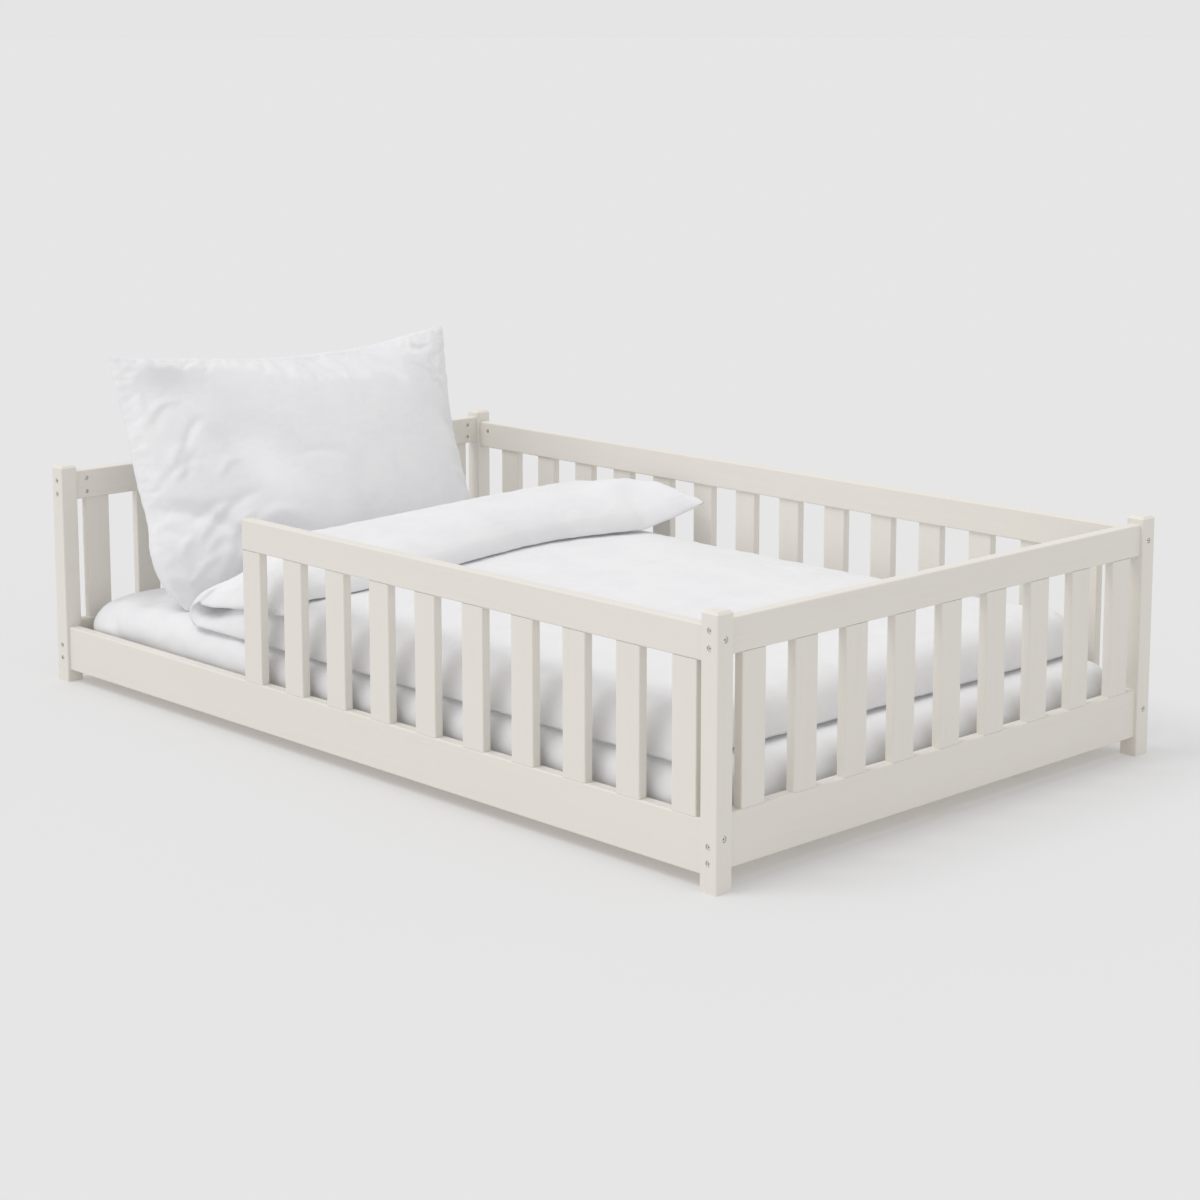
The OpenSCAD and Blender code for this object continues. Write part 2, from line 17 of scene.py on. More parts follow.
import bmesh
import bpy
import numpy as np
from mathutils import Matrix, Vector


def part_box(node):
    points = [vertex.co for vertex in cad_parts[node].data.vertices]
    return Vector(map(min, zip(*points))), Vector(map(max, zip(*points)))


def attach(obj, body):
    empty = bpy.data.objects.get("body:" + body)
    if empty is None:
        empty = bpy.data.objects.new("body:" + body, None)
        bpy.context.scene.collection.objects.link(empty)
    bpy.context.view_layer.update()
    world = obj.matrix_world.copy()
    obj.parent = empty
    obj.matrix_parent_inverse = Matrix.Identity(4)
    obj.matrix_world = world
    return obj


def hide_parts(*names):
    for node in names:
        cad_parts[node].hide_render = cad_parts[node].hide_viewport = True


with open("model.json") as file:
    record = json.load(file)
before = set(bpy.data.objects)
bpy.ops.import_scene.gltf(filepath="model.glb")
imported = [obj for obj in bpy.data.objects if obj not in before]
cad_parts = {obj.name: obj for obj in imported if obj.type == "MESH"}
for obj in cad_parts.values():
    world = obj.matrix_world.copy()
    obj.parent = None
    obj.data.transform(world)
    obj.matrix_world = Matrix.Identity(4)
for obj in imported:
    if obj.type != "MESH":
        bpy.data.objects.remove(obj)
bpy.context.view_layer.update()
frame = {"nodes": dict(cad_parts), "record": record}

LOG = logging.getLogger("toddler_bed")
Array = np.ndarray


# ---------------------------------------------------------------- small helpers


def mm(value: float) -> float:
    """Millimetres to metres."""
    return value * 0.001


def box(node: str) -> tuple[Array, Array]:
    """Lowest and highest corner of a CAD node at rest.

    Args:
        node: name of the CAD node.

    Returns:
        Two arrays of x, y, z.
    """
    low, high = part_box(node)
    return np.array(low, dtype=float), np.array(high, dtype=float)


def smooth(value: Array | float) -> Array | float:
    """Smooth step: 0 below 0, 1 above 1, and an even ease between them."""
    t = np.clip(value, 0.0, 1.0)
    return t * t * (3.0 - 2.0 * t)


def make_mesh(name: str, points: Array, faces: Sequence[Sequence[int]], uvs: Array | None = None) -> Any:
    """Makes an object at the origin from points and faces.

    Args:
        name: name of the piece.
        points: n by 3 array, in metres.
        faces: lists of point numbers.
        uvs: n by 2 array of cloth coordinates for the points, in metres.

    Returns:
        The new object, smooth shaded, linked to the scene.
    """
    mesh = bpy.data.meshes.new(name)
    mesh.from_pydata([tuple(p) for p in points], [], [tuple(f) for f in faces])
    mesh.validate()
    if uvs is not None:
        layer = mesh.uv_layers.new(name="cloth")
        numbers = np.zeros(len(mesh.loops), dtype=np.int32)
        mesh.loops.foreach_get("vertex_index", numbers)
        layer.data.foreach_set("uv", uvs[numbers].astype(np.float32).ravel())
    mesh.polygons.foreach_set("use_smooth", [True] * len(mesh.polygons))
    mesh.update()
    piece = bpy.data.objects.new(name, mesh)
    bpy.context.scene.collection.objects.link(piece)
    return piece


def points_of(mesh: bpy.types.Mesh, field: str = "co") -> Array:
    """Reads one vector of each of the mesh's points.

    Args:
        mesh: the mesh.
        field: co for places, normal for normals.

    Returns:
        An n by 3 array.
    """
    flat = np.zeros(len(mesh.vertices) * 3, dtype=np.float32)
    mesh.vertices.foreach_get(field, flat)
    return flat.reshape(-1, 3).astype(float)


def set_points(mesh: bpy.types.Mesh, points: Array) -> None:
    """Moves the mesh's points to an n by 3 array."""
    mesh.vertices.foreach_set("co", points.astype(np.float32).ravel())
    mesh.update()


def subdivide(piece: Any, levels: int = 1) -> None:
    """Adds a subdivision surface with the same levels in view and render."""
    modifier = piece.modifiers.new("rounding", "SUBSURF")
    modifier.levels = modifier.render_levels = levels


def thicken(piece: Any, thickness: float) -> None:
    """Gives a sheet its thickness, inwards from its outer face."""
    modifier = piece.modifiers.new("thickness", "SOLIDIFY")
    modifier.thickness, modifier.offset = thickness, -1.0


# ---------------------------------------------------------------- cloth simulation


@dataclass(frozen=True)
class ClothRun:
    """One cloth simulation that swells a closed, padded shape and wrinkles its cover.

    Attributes:
        pressure: push from inside.
        slack: how much longer the cloth is than the starting shape, as a share.
        frames: steps of the simulation.
        bending: stiffness against folding; low gives finer wrinkles.
        mass: weight of the cloth at each point, in kilograms.
    """

    pressure: float
    slack: float = 0.02
    frames: int = 20
    bending: float = 0.4
    mass: float = 0.3

    def apply(self, piece: Any, reach: Array) -> None:
        """Runs the simulation and keeps its shape.

        Args:
            piece: the closed mesh.
            reach: how far each point may move, in metres; 0 holds it still.
        """
        scene = bpy.context.scene
        start = points_of(piece.data)
        group = piece.vertex_groups.new(name="held")
        held = [int(i) for i in np.nonzero(reach <= 0.0)[0]]
        group.add(held, 1.0, "REPLACE")
        modifier = piece.modifiers.new("cloth", "CLOTH")
        cloth = modifier.settings
        cloth.quality = 5
        cloth.mass = self.mass
        cloth.tension_stiffness = 20.0
        cloth.compression_stiffness = 20.0
        cloth.shear_stiffness = 8.0
        cloth.bending_stiffness = self.bending
        cloth.use_pressure = True
        cloth.uniform_pressure_force = self.pressure
        cloth.shrink_min = -self.slack
        cloth.effector_weights.gravity = 0.0
        cloth.vertex_group_mass = group.name
        modifier.collision_settings.use_collision = False
        modifier.point_cache.frame_start = 1
        modifier.point_cache.frame_end = self.frames
        for step in range(1, self.frames + 1):
            scene.frame_set(step)
        swollen = piece.evaluated_get(bpy.context.evaluated_depsgraph_get())
        move = points_of(swollen.data) - start
        piece.modifiers.remove(modifier)
        piece.vertex_groups.remove(group)
        scene.frame_set(1)
        length = np.linalg.norm(move, axis=1)
        share = np.minimum(1.0, reach / np.maximum(length, 1e-9))
        set_points(piece.data, start + move * share[:, None])


# ---------------------------------------------------------------- node helpers


def linear(hex_colour: str) -> tuple[float, float, float, float]:
    """Turns an sRGB hex colour into linear red, green, blue and alpha.

    Args:
        hex_colour: such as "#E6E2D8".

    Returns:
        Linear values with alpha 1.
    """
    values = [int(hex_colour[k : k + 2], 16) / 255.0 for k in (1, 3, 5)]
    r, g, b = (v / 12.92 if v <= 0.04045 else ((v + 0.055) / 1.055) ** 2.4 for v in values)
    return (r, g, b, 1.0)


def add(tree: Any, kind: str, inputs: dict[Any, Any] | None = None, **settings: Any) -> Any:
    """Adds a node with its settings and links.

    Args:
        tree: the node tree.
        kind: the node's type.
        inputs: socket name or number to a value, to the output socket that feeds it, or to
            the node whose first output feeds it.
        settings: properties of the node.

    Returns:
        The new node.
    """
    node = tree.nodes.new(kind)
    for name, value in settings.items():
        setattr(node, name, value)
    for key, value in (inputs or {}).items():
        if isinstance(value, bpy.types.Node):
            value = value.outputs[0]
        if isinstance(value, bpy.types.NodeSocket):
            tree.links.new(value, node.inputs[key])
        else:
            node.inputs[key].default_value = value
    return node


class Recipe:
    """A material in the making: its node tree, object coordinates in metres and output."""

    def __init__(self, name: str) -> None:
        """Starts an empty node material.

        Args:
            name: the material's name.
        """
        self.material = bpy.data.materials.new(name)
        self.material.use_nodes = True
        self.tree = self.material.node_tree
        self.tree.nodes.clear()
        self.out = self.add("OutputMaterial")
        self.place = self.add("TexCoord").outputs["Object"]

    def add(self, kind: str, inputs: dict[Any, Any] | None = None, **settings: Any) -> Any:
        """Adds a shader node; its kind leaves out the ShaderNode that all their names begin with."""
        return add(self.tree, "ShaderNode" + kind, inputs, **settings)

    def close(self, shader: Any) -> bpy.types.Material:
        """Links the last shader to the output and returns the material."""
        self.tree.links.new(shader.outputs[0], self.out.inputs[0])
        return self.material

    def surface(
        self,
        tone: Any,
        colours: tuple[str, str],
        reliefs: Sequence[tuple[Any, float, float]],
        inputs: dict[str, Any],
    ) -> bpy.types.Material:
        """Colours the surface, lays its reliefs over each other and closes the material.

        Args:
            tone: node that blends the two colours, 0 to 1.
            colours: the two sRGB hex colours.
            reliefs: height node, depth in metres and strength of each relief, the lowest first.
            inputs: the shader's other inputs.

        Returns:
            The material.
        """
        blend = {0: tone, 6: linear(colours[0]), 7: linear(colours[1])}
        colour = self.add("Mix", blend, data_type="RGBA").outputs[2]
        under: dict[str, Any] = {}
        for height, depth, strength in reliefs:
            layer = self.add("Bump", {"Height": height, "Distance": depth, "Strength": strength, **under})
            under = {"Normal": layer}
        return self.close(self.add("BsdfPrincipled", {"Base Color": colour, **under, **inputs}))


# ---------------------------------------------------------------- finishes


class Grain(Enum):
    """The axis that a board's grain runs along."""

    LENGTH = 0
    WIDTH = 1
    UPRIGHT = 2

    def scale(self, lengthwise: float) -> tuple[float, ...]:
        """Scale on x, y and z that draws a pattern out along the grain."""
        return tuple(lengthwise if axis == self.value else 1.0 for axis in range(3))


@dataclass(frozen=True)
class PaintedPine:
    """Pine under two coats of satin acrylic paint, rolled and lightly sanded.

    The paint hides the wood's colour, but the harder growth lines stand up through it as
    faint ridges along the grain, and the roller leaves a fine stipple in the gloss.
    """

    grain: Grain
    paint: str = "#E7E3DB"
    thin_paint: str = "#DFDACF"
    ridge_width: float = mm(3.2)
    ridge_depth: float = mm(0.10)
    ridge_stretch: float = 0.012
    cloud_width: float = mm(140)
    cloud_stretch: float = 0.25
    stipple_width: float = mm(1.1)
    stipple_depth: float = mm(0.03)

    def make(self) -> bpy.types.Material:
        """Builds the material for this grain direction.

        Returns:
            The material.
        """
        recipe = Recipe(f"painted_pine_{self.grain.name.lower()}")
        node = recipe.add
        lines = node("Mapping", {"Vector": recipe.place, "Scale": self.grain.scale(self.ridge_stretch)})
        board = node("Mapping", {"Vector": recipe.place, "Scale": self.grain.scale(self.cloud_stretch)})
        ridge = {"Vector": lines, "Scale": 1.0 / self.ridge_width, "Detail": 3.0, "Roughness": 0.62}
        cloud = {"Vector": board, "Scale": 1.0 / self.cloud_width, "Detail": 3.0, "Roughness": 0.55}
        stipple = {"Vector": recipe.place, "Scale": 1.0 / self.stipple_width, "Detail": 1.0}
        ridges, clouds, stipples = (node("TexNoise", inputs) for inputs in (ridge, cloud, stipple))
        shade = node("MapRange", {"Value": clouds, "From Min": 0.32, "From Max": 0.68})
        worn = node("MapRange", {"Value": ridges, "From Min": 0.35, "From Max": 0.75, "To Max": 0.55})
        thin = node("Math", {0: shade, 1: worn}, operation="MULTIPLY")
        gloss = {"Value": clouds, "From Min": 0.3, "From Max": 0.7, "To Min": 0.38, "To Max": 0.50}
        reliefs = [(ridges, self.ridge_depth, 0.55), (stipples, self.stipple_depth, 0.5)]
        inputs = {"Roughness": node("MapRange", gloss), "IOR": 1.47}
        return recipe.surface(thin, (self.paint, self.thin_paint), reliefs, inputs)


@dataclass(frozen=True)
class BarePine:
    """Planed, uncoated pine: pale early wood with darker growth lines and a dull surface."""

    grain: Grain
    early: str = "#EAD8B6"
    late: str = "#D0AE7C"
    ring_width: float = mm(5.0)
    ring_depth: float = mm(0.12)
    ring_stretch: float = 0.03
    figure_width: float = mm(38)

    def make(self) -> bpy.types.Material:
        """Builds the material for this grain direction.

        Returns:
            The material.
        """
        recipe = Recipe(f"bare_pine_{self.grain.name.lower()}")
        node = recipe.add
        lines = node("Mapping", {"Vector": recipe.place, "Scale": self.grain.scale(self.ring_stretch)})
        ring = {"Vector": lines, "Scale": 1.0 / self.ring_width, "Detail": 4.0, "Roughness": 0.55}
        rings = node("TexNoise", ring)
        figure = node("TexNoise", {"Vector": lines, "Scale": 1.0 / self.figure_width})
        blended = node("Math", {0: rings, 1: figure}, operation="MULTIPLY")
        tone = node("MapRange", {"Value": blended, "From Min": 0.16, "From Max": 0.38})
        dull = {"Value": rings, "From Min": 0.3, "From Max": 0.7, "To Min": 0.58, "To Max": 0.72}
        inputs = {"Roughness": node("MapRange", dull), "IOR": 1.5}
        return recipe.surface(tone, (self.early, self.late), [(rings, self.ring_depth, 0.6)], inputs)


@dataclass(frozen=True)
class ZincPlate:
    """Bright zinc plating on steel fittings: a soft, cloudy metal shine."""

    tint: str = "#F1F1EF"
    dull: str = "#DFDFDD"
    cloud_width: float = mm(3.0)
    cloud_depth: float = mm(0.02)

    def make(self) -> bpy.types.Material:
        """Builds the material.

        Returns:
            The material.
        """
        recipe = Recipe("zinc_plate")
        node = recipe.add
        cloud = node("TexNoise", {"Vector": recipe.place, "Scale": 1.0 / self.cloud_width, "Detail": 3.0})
        tone = node("MapRange", {"Value": cloud, "From Min": 0.3, "From Max": 0.7})
        shine = {"Value": cloud, "From Min": 0.3, "From Max": 0.7, "To Min": 0.36, "To Max": 0.5}
        inputs = {"Metallic": 1.0, "Roughness": node("MapRange", shine)}
        return recipe.surface(tone, (self.tint, self.dull), [(cloud, self.cloud_depth, 0.5)], inputs)


class Weave(Enum):
    """How the threads of a cloth cross."""

    PERCALE = "percale"
    KNIT = "knit"
    TAPE = "tape"


@dataclass(frozen=True)
class Cloth:
    """Woven or knitted cloth: matt, with a soft bloom at grazing angles and a thread relief.

    The thread spacing of fine cotton, about 0.3 mm, is too fine to show, so the relief is
    drawn as coarse as it needs to be to show up close.

    Attributes:
        name: name of the material.
        weave: how the threads cross.
        colour: main sRGB colour.
        shade: slightly deeper colour in the cloud of uneven whiteness.
        thread: spacing of the drawn threads.
        depth: depth of the thread relief.
        crumple: size of the small creases left by washing and folding.
        crumple_depth: depth of those creases.
        cloud_width: size of the patches of uneven whiteness.
        rough: roughness.
        painted_glow: painted light, a faint emission that lightens the cotton where it lies in shade.
    """

    name: str
    weave: Weave
    colour: str
    shade: str
    thread: float
    depth: float
    crumple: float = mm(28)
    crumple_depth: float = mm(1.3)
    cloud_width: float = mm(90)
    rough: float = 0.82
    painted_glow: float = 0.0

    def threads(self, recipe: Recipe) -> Any:
        """Height of the crossing threads.

        Args:
            recipe: the material in the making.

        Returns:
            The node whose first output is the height, 0 to 1.
        """
        bands = ("DIAGONAL", "Y") if self.weave is Weave.KNIT else ("X", "Y", "Z")
        # a wave texture repeats every pi / (10 x scale)
        inputs = {"Vector": recipe.place, "Scale": math.pi / (10.0 * self.thread), "Distortion": 0.4}
        waves = [recipe.add("TexWave", inputs, bands_direction=band).outputs[1] for band in bands]
        total = waves[0]
        for wave in waves[1:]:
            total = recipe.add("Math", {0: total, 1: wave}, operation="ADD")
        return recipe.add("Math", {0: total, 1: 1.0 / len(waves)}, operation="MULTIPLY")

    def make(self) -> bpy.types.Material:
        """Builds the material.

        Returns:
            The material.
        """
        recipe = Recipe(self.name)
        cloud = {"Scale": 1.0 / self.cloud_width, "Detail": 3.0, "Roughness": 0.6}
        crease = {"Scale": 1.0 / self.crumple, "Detail": 4.0, "Roughness": 0.55}
        clouds, creases = (
            recipe.add("TexNoise", {"Vector": recipe.place, **inputs}) for inputs in (cloud, crease)
        )
        tone = recipe.add("MapRange", {"Value": clouds, "From Min": 0.3, "From Max": 0.7})
        reliefs = [(creases, self.crumple_depth, 0.35), (self.threads(recipe), self.depth, 0.5)]
        inputs = {
            "Roughness": self.rough,
            # painted light: a faint emission, not a lamp, that lifts the cotton where it lies in shade
            "Emission Color": (0.97, 0.98, 1.0, 1.0),
            "Emission Strength": self.painted_glow,
            "Sheen Weight": 0.12,
            "Sheen Roughness": 0.45,
            "Specular IOR Level": 0.3,
        }
        return recipe.surface(tone, (self.colour, self.shade), reliefs, inputs)


# both percales carry a faint painted glow, an emission that lightens the bedding and the sheet in their
# shade
PERCALE = Cloth("cotton_percale", Weave.PERCALE, "#E8E8E9", "#E3E3E5", mm(1.2), mm(0.05), painted_glow=0.03)
SHEET_PERCALE = Cloth(
    "sheet_percale", Weave.PERCALE, "#E6E6E7", "#E1E1E3", mm(1.2), mm(0.05), mm(36), painted_glow=0.04
)
TICKING = Cloth("knitted_ticking", Weave.KNIT, "#ECECE8", "#E2E2DD", mm(2.4), mm(0.25), mm(60))
WEBBING = Cloth("polyester_webbing", Weave.TAPE, "#6E7276", "#5C6064", mm(1.6), mm(0.3), mm(12), mm(0.2))
THREAD = Cloth("sewing_thread", Weave.TAPE, "#F4F4F4", "#E9E9E9", mm(0.5), mm(0.05), mm(4), mm(0.05))


class Finishes:
    """Makes each finish once and hands it out."""

    def __init__(self) -> None:
        """Starts with no finishes made."""
        self._made: dict[Any, bpy.types.Material] = {}

    def get(self, finish: Any) -> bpy.types.Material:
        """The material of a finish.

        Args:
            finish: one of the finish dataclasses.

        Returns:
            Its material, made on the first call.
        """
        if finish not in self._made:
            self._made[finish] = finish.make()
        return self._made[finish]

    def dress(self, piece: Any, finish: Any) -> None:
        """Gives a piece, or a CAD node's object, one finish."""
        piece.data.materials.clear()
        piece.data.materials.append(self.get(finish))


# ---------------------------------------------------------------- rigid sub-assemblies


def cad_piece(node: str) -> Any:
    """The object of a CAD node."""
    return frame["nodes"][node]


@dataclass
class BedFrame:
    """Posts, rails, boards, fence slats, ledges and centre beam, all kept from the CAD."""

    finishes: Finishes

    def grain_of(self, node: str) -> Grain:
        """The grain runs along a board's longest side.

        Args:
            node: name of the CAD node.

        Returns:
            The axis of its grain.
        """
        if "slat" in node or node.startswith("post"):
            return Grain.UPRIGHT
        low, high = box(node)
        return Grain.LENGTH if (high - low)[0] > (high - low)[1] else Grain.WIDTH

    def build(self) -> int:
        """Dresses the frame's wood.

        Returns:
            How many nodes were dressed.
        """
        bare = {"ledge_near", "ledge_far", "centre_beam", "beam_feet", "dowels"}
        steel = {"beam_brackets", "end_bolts", "side_bolts", "barrel_nuts", "wood_screws", "bracket_screws"}
        nodes = frame["record"]["behaviour"]["bodies"]["bed_frame"]
        for node in nodes:
            if node in steel:
                self.finishes.dress(cad_piece(node), ZincPlate())
            elif node in bare:
                self.finishes.dress(cad_piece(node), BarePine(Grain.LENGTH))
            else:
                self.finishes.dress(cad_piece(node), PaintedPine(self.grain_of(node)))
        return len(nodes)


@dataclass
class SlattedBase:
    """Loose base: pine slats held at their spacing by two stapled tapes."""

    finishes: Finishes

    def build(self) -> int:
        """Dresses the slats, the tapes and the staples.

        Returns:
            How many nodes were dressed.
        """
        self.finishes.dress(cad_piece("base_slats"), BarePine(Grain.WIDTH))
        self.finishes.dress(cad_piece("base_tapes"), WEBBING)
        self.finishes.dress(cad_piece("base_staples"), ZincPlate())
        return 3


# ---------------------------------------------------------------- stitching


@dataclass
class Stitching:
    """Rows of machine stitches along a seam, set out by one geometry node tree."""

    finishes: Finishes
    pitch: float = mm(7.0)
    length: float = mm(4.6)
    thickness: float = mm(0.8)

    def tree(self) -> Any:
        """Builds the node tree: a curve in, realised stitches out.

        Returns:
            The tree, with inputs Pitch, Length and Thickness.
        """
        tree = bpy.data.node_groups.new("stitch_row", "GeometryNodeTree")
        face = tree.interface
        face.new_socket("Geometry", in_out="INPUT", socket_type="NodeSocketGeometry")
        for name, value in (("Pitch", self.pitch), ("Length", self.length), ("Thickness", self.thickness)):
            socket = face.new_socket(name, in_out="INPUT", socket_type="NodeSocketFloat")
            socket.default_value = value
        face.new_socket("Geometry", in_out="OUTPUT", socket_type="NodeSocketGeometry")
        given = add(tree, "NodeGroupInput")
        row = add(
            tree,
            "GeometryNodeResampleCurve",
            {"Curve": given.outputs["Geometry"], "Length": given.outputs["Pitch"]},
            mode="LENGTH",
        )
        points = add(tree, "GeometryNodeCurveToPoints", {"Curve": row.outputs[0]}, mode="EVALUATED")
        turn = add(tree, "FunctionNodeAlignEulerToVector", {"Vector": points.outputs["Tangent"]}, axis="X")
        size = add(
            tree,
            "ShaderNodeCombineXYZ",
            {"X": given.outputs["Length"], "Y": given.outputs["Thickness"], "Z": given.outputs["Thickness"]},
        )
        stitch = add(tree, "GeometryNodeMeshIcoSphere", {"Radius": 0.5, "Subdivisions": 1})
        placed = add(
            tree,
            "GeometryNodeInstanceOnPoints",
            {
                "Points": points.outputs["Points"],
                "Instance": stitch.outputs["Mesh"],
                "Rotation": turn.outputs["Rotation"],
                "Scale": size.outputs[0],
            },
        )
        real = add(tree, "GeometryNodeRealizeInstances", {"Geometry": placed.outputs[0]})
        dressed = add(
            tree,
            "GeometryNodeSetMaterial",
            {"Geometry": real.outputs[0], "Material": self.finishes.get(THREAD)},
        )
        add(tree, "NodeGroupOutput", {"Geometry": dressed.outputs[0]})
        return tree

    def row(self, name: str, routes: Sequence[Array]) -> Any:
        """Sews stitches along routes.

        Args:
            name: name of the piece.
            routes: one n by 3 array of points for each row.

        Returns:
            A plain mesh object of all the stitches.
        """
        curve = bpy.data.curves.new(name + "_route", "CURVE")
        curve.dimensions = "3D"
        for route in routes:
            spline = curve.splines.new("POLY")
            spline.points.add(len(route) - 1)
            flat = np.hstack([route, np.ones((len(route), 1))])
            spline.points.foreach_set("co", flat.astype(np.float32).ravel())
        guide = bpy.data.objects.new(name + "_route", curve)
        bpy.context.scene.collection.objects.link(guide)
        tree = self.tree()
        modifier = guide.modifiers.new("stitches", "NODES")
        modifier.node_group = tree
        values = {"Pitch": self.pitch, "Length": self.length, "Thickness": self.thickness}
        for item in tree.interface.items_tree:
            if item.in_out == "INPUT" and item.name in values:
                modifier[item.identifier] = values[item.name]
        ready = guide.evaluated_get(bpy.context.evaluated_depsgraph_get())
        mesh = bpy.data.meshes.new_from_object(ready)
        guide.modifiers.remove(modifier)
        bpy.data.objects.remove(guide)
        piece = bpy.data.objects.new(name, mesh)
        bpy.context.scene.collection.objects.link(piece)
        return piece


# ---------------------------------------------------------------- mattress and sheet


def rounded_block(
    low: Array, high: Array, step: float, corner: float, edge: float
) -> tuple[Array, list[tuple[int, ...]]]:
    """Closed grid over a block with round upright corners and round top and bottom edges.

    Args:
        low: lowest corner.
        high: highest corner.
        step: grid spacing.
        corner: radius of the upright corners, seen from above.
        edge: radius of the top and bottom edges.

    Returns:
        Points and faces, the faces pointing outwards.
    """
    size = high - low
    counts = np.maximum(np.round(size / step).astype(int), 2)
    numbers: dict[tuple[int, int, int], int] = {}
    points: list[Array] = []
    faces: list[tuple[int, ...]] = []

    def number(key: tuple[int, int, int]) -> int:
        """Numbers a place on the grid.

        Args:
            key: its steps along x, y and z.

        Returns:
            The number of its point, which is added on the first call.
        """
        if key not in numbers:
            numbers[key] = len(points)
            points.append(low + size * np.array(key) / counts)
        return numbers[key]

    for axis in range(3):
        u, v = (axis + 1) % 3, (axis + 2) % 3
        for level, forward in ((0, False), (int(counts[axis]), True)):
            for i in range(counts[u]):
                for j in range(counts[v]):
                    quad = []
                    for di, dj in ((0, 0), (1, 0), (1, 1), (0, 1)):
                        key = [0, 0, 0]
                        key[axis], key[u], key[v] = level, i + di, j + dj
                        quad.append(number(tuple(key)))
                    faces.append(tuple(quad if forward else quad[::-1]))
    grid = np.array(points)
    inner_low, inner_high = low[:2] + corner, high[:2] - corner
    core = np.clip(grid[:, :2], inner_low, inner_high)
    away = grid[:, :2] - core
    reach = np.max(np.abs(away), axis=1)
    length = np.linalg.norm(away, axis=1)
    shaped = grid.copy()
    turn = length > 1e-9
    shaped[turn, :2] = core[turn] + away[turn] * (reach[turn] / length[turn])[:, None]
    inset = corner - np.minimum(reach, corner)
    middle = np.clip(grid[:, 2], low[2] + edge, high[2] - edge)
    up = grid[:, 2] - middle
    out = np.clip(edge - inset, 0.0, edge)
    span = np.hypot(up, out)
    widest = np.maximum(np.abs(up), out)
    pull = np.where(span > 1e-9, widest / np.maximum(span, 1e-9), 1.0)
    shaped[:, 2] = middle + up * pull
    shift = out - out * pull
    direction = np.zeros_like(away)
    direction[turn] = away[turn] / length[turn][:, None]
    shaped[:, :2] -= direction * shift[:, None]
    return shaped, faces


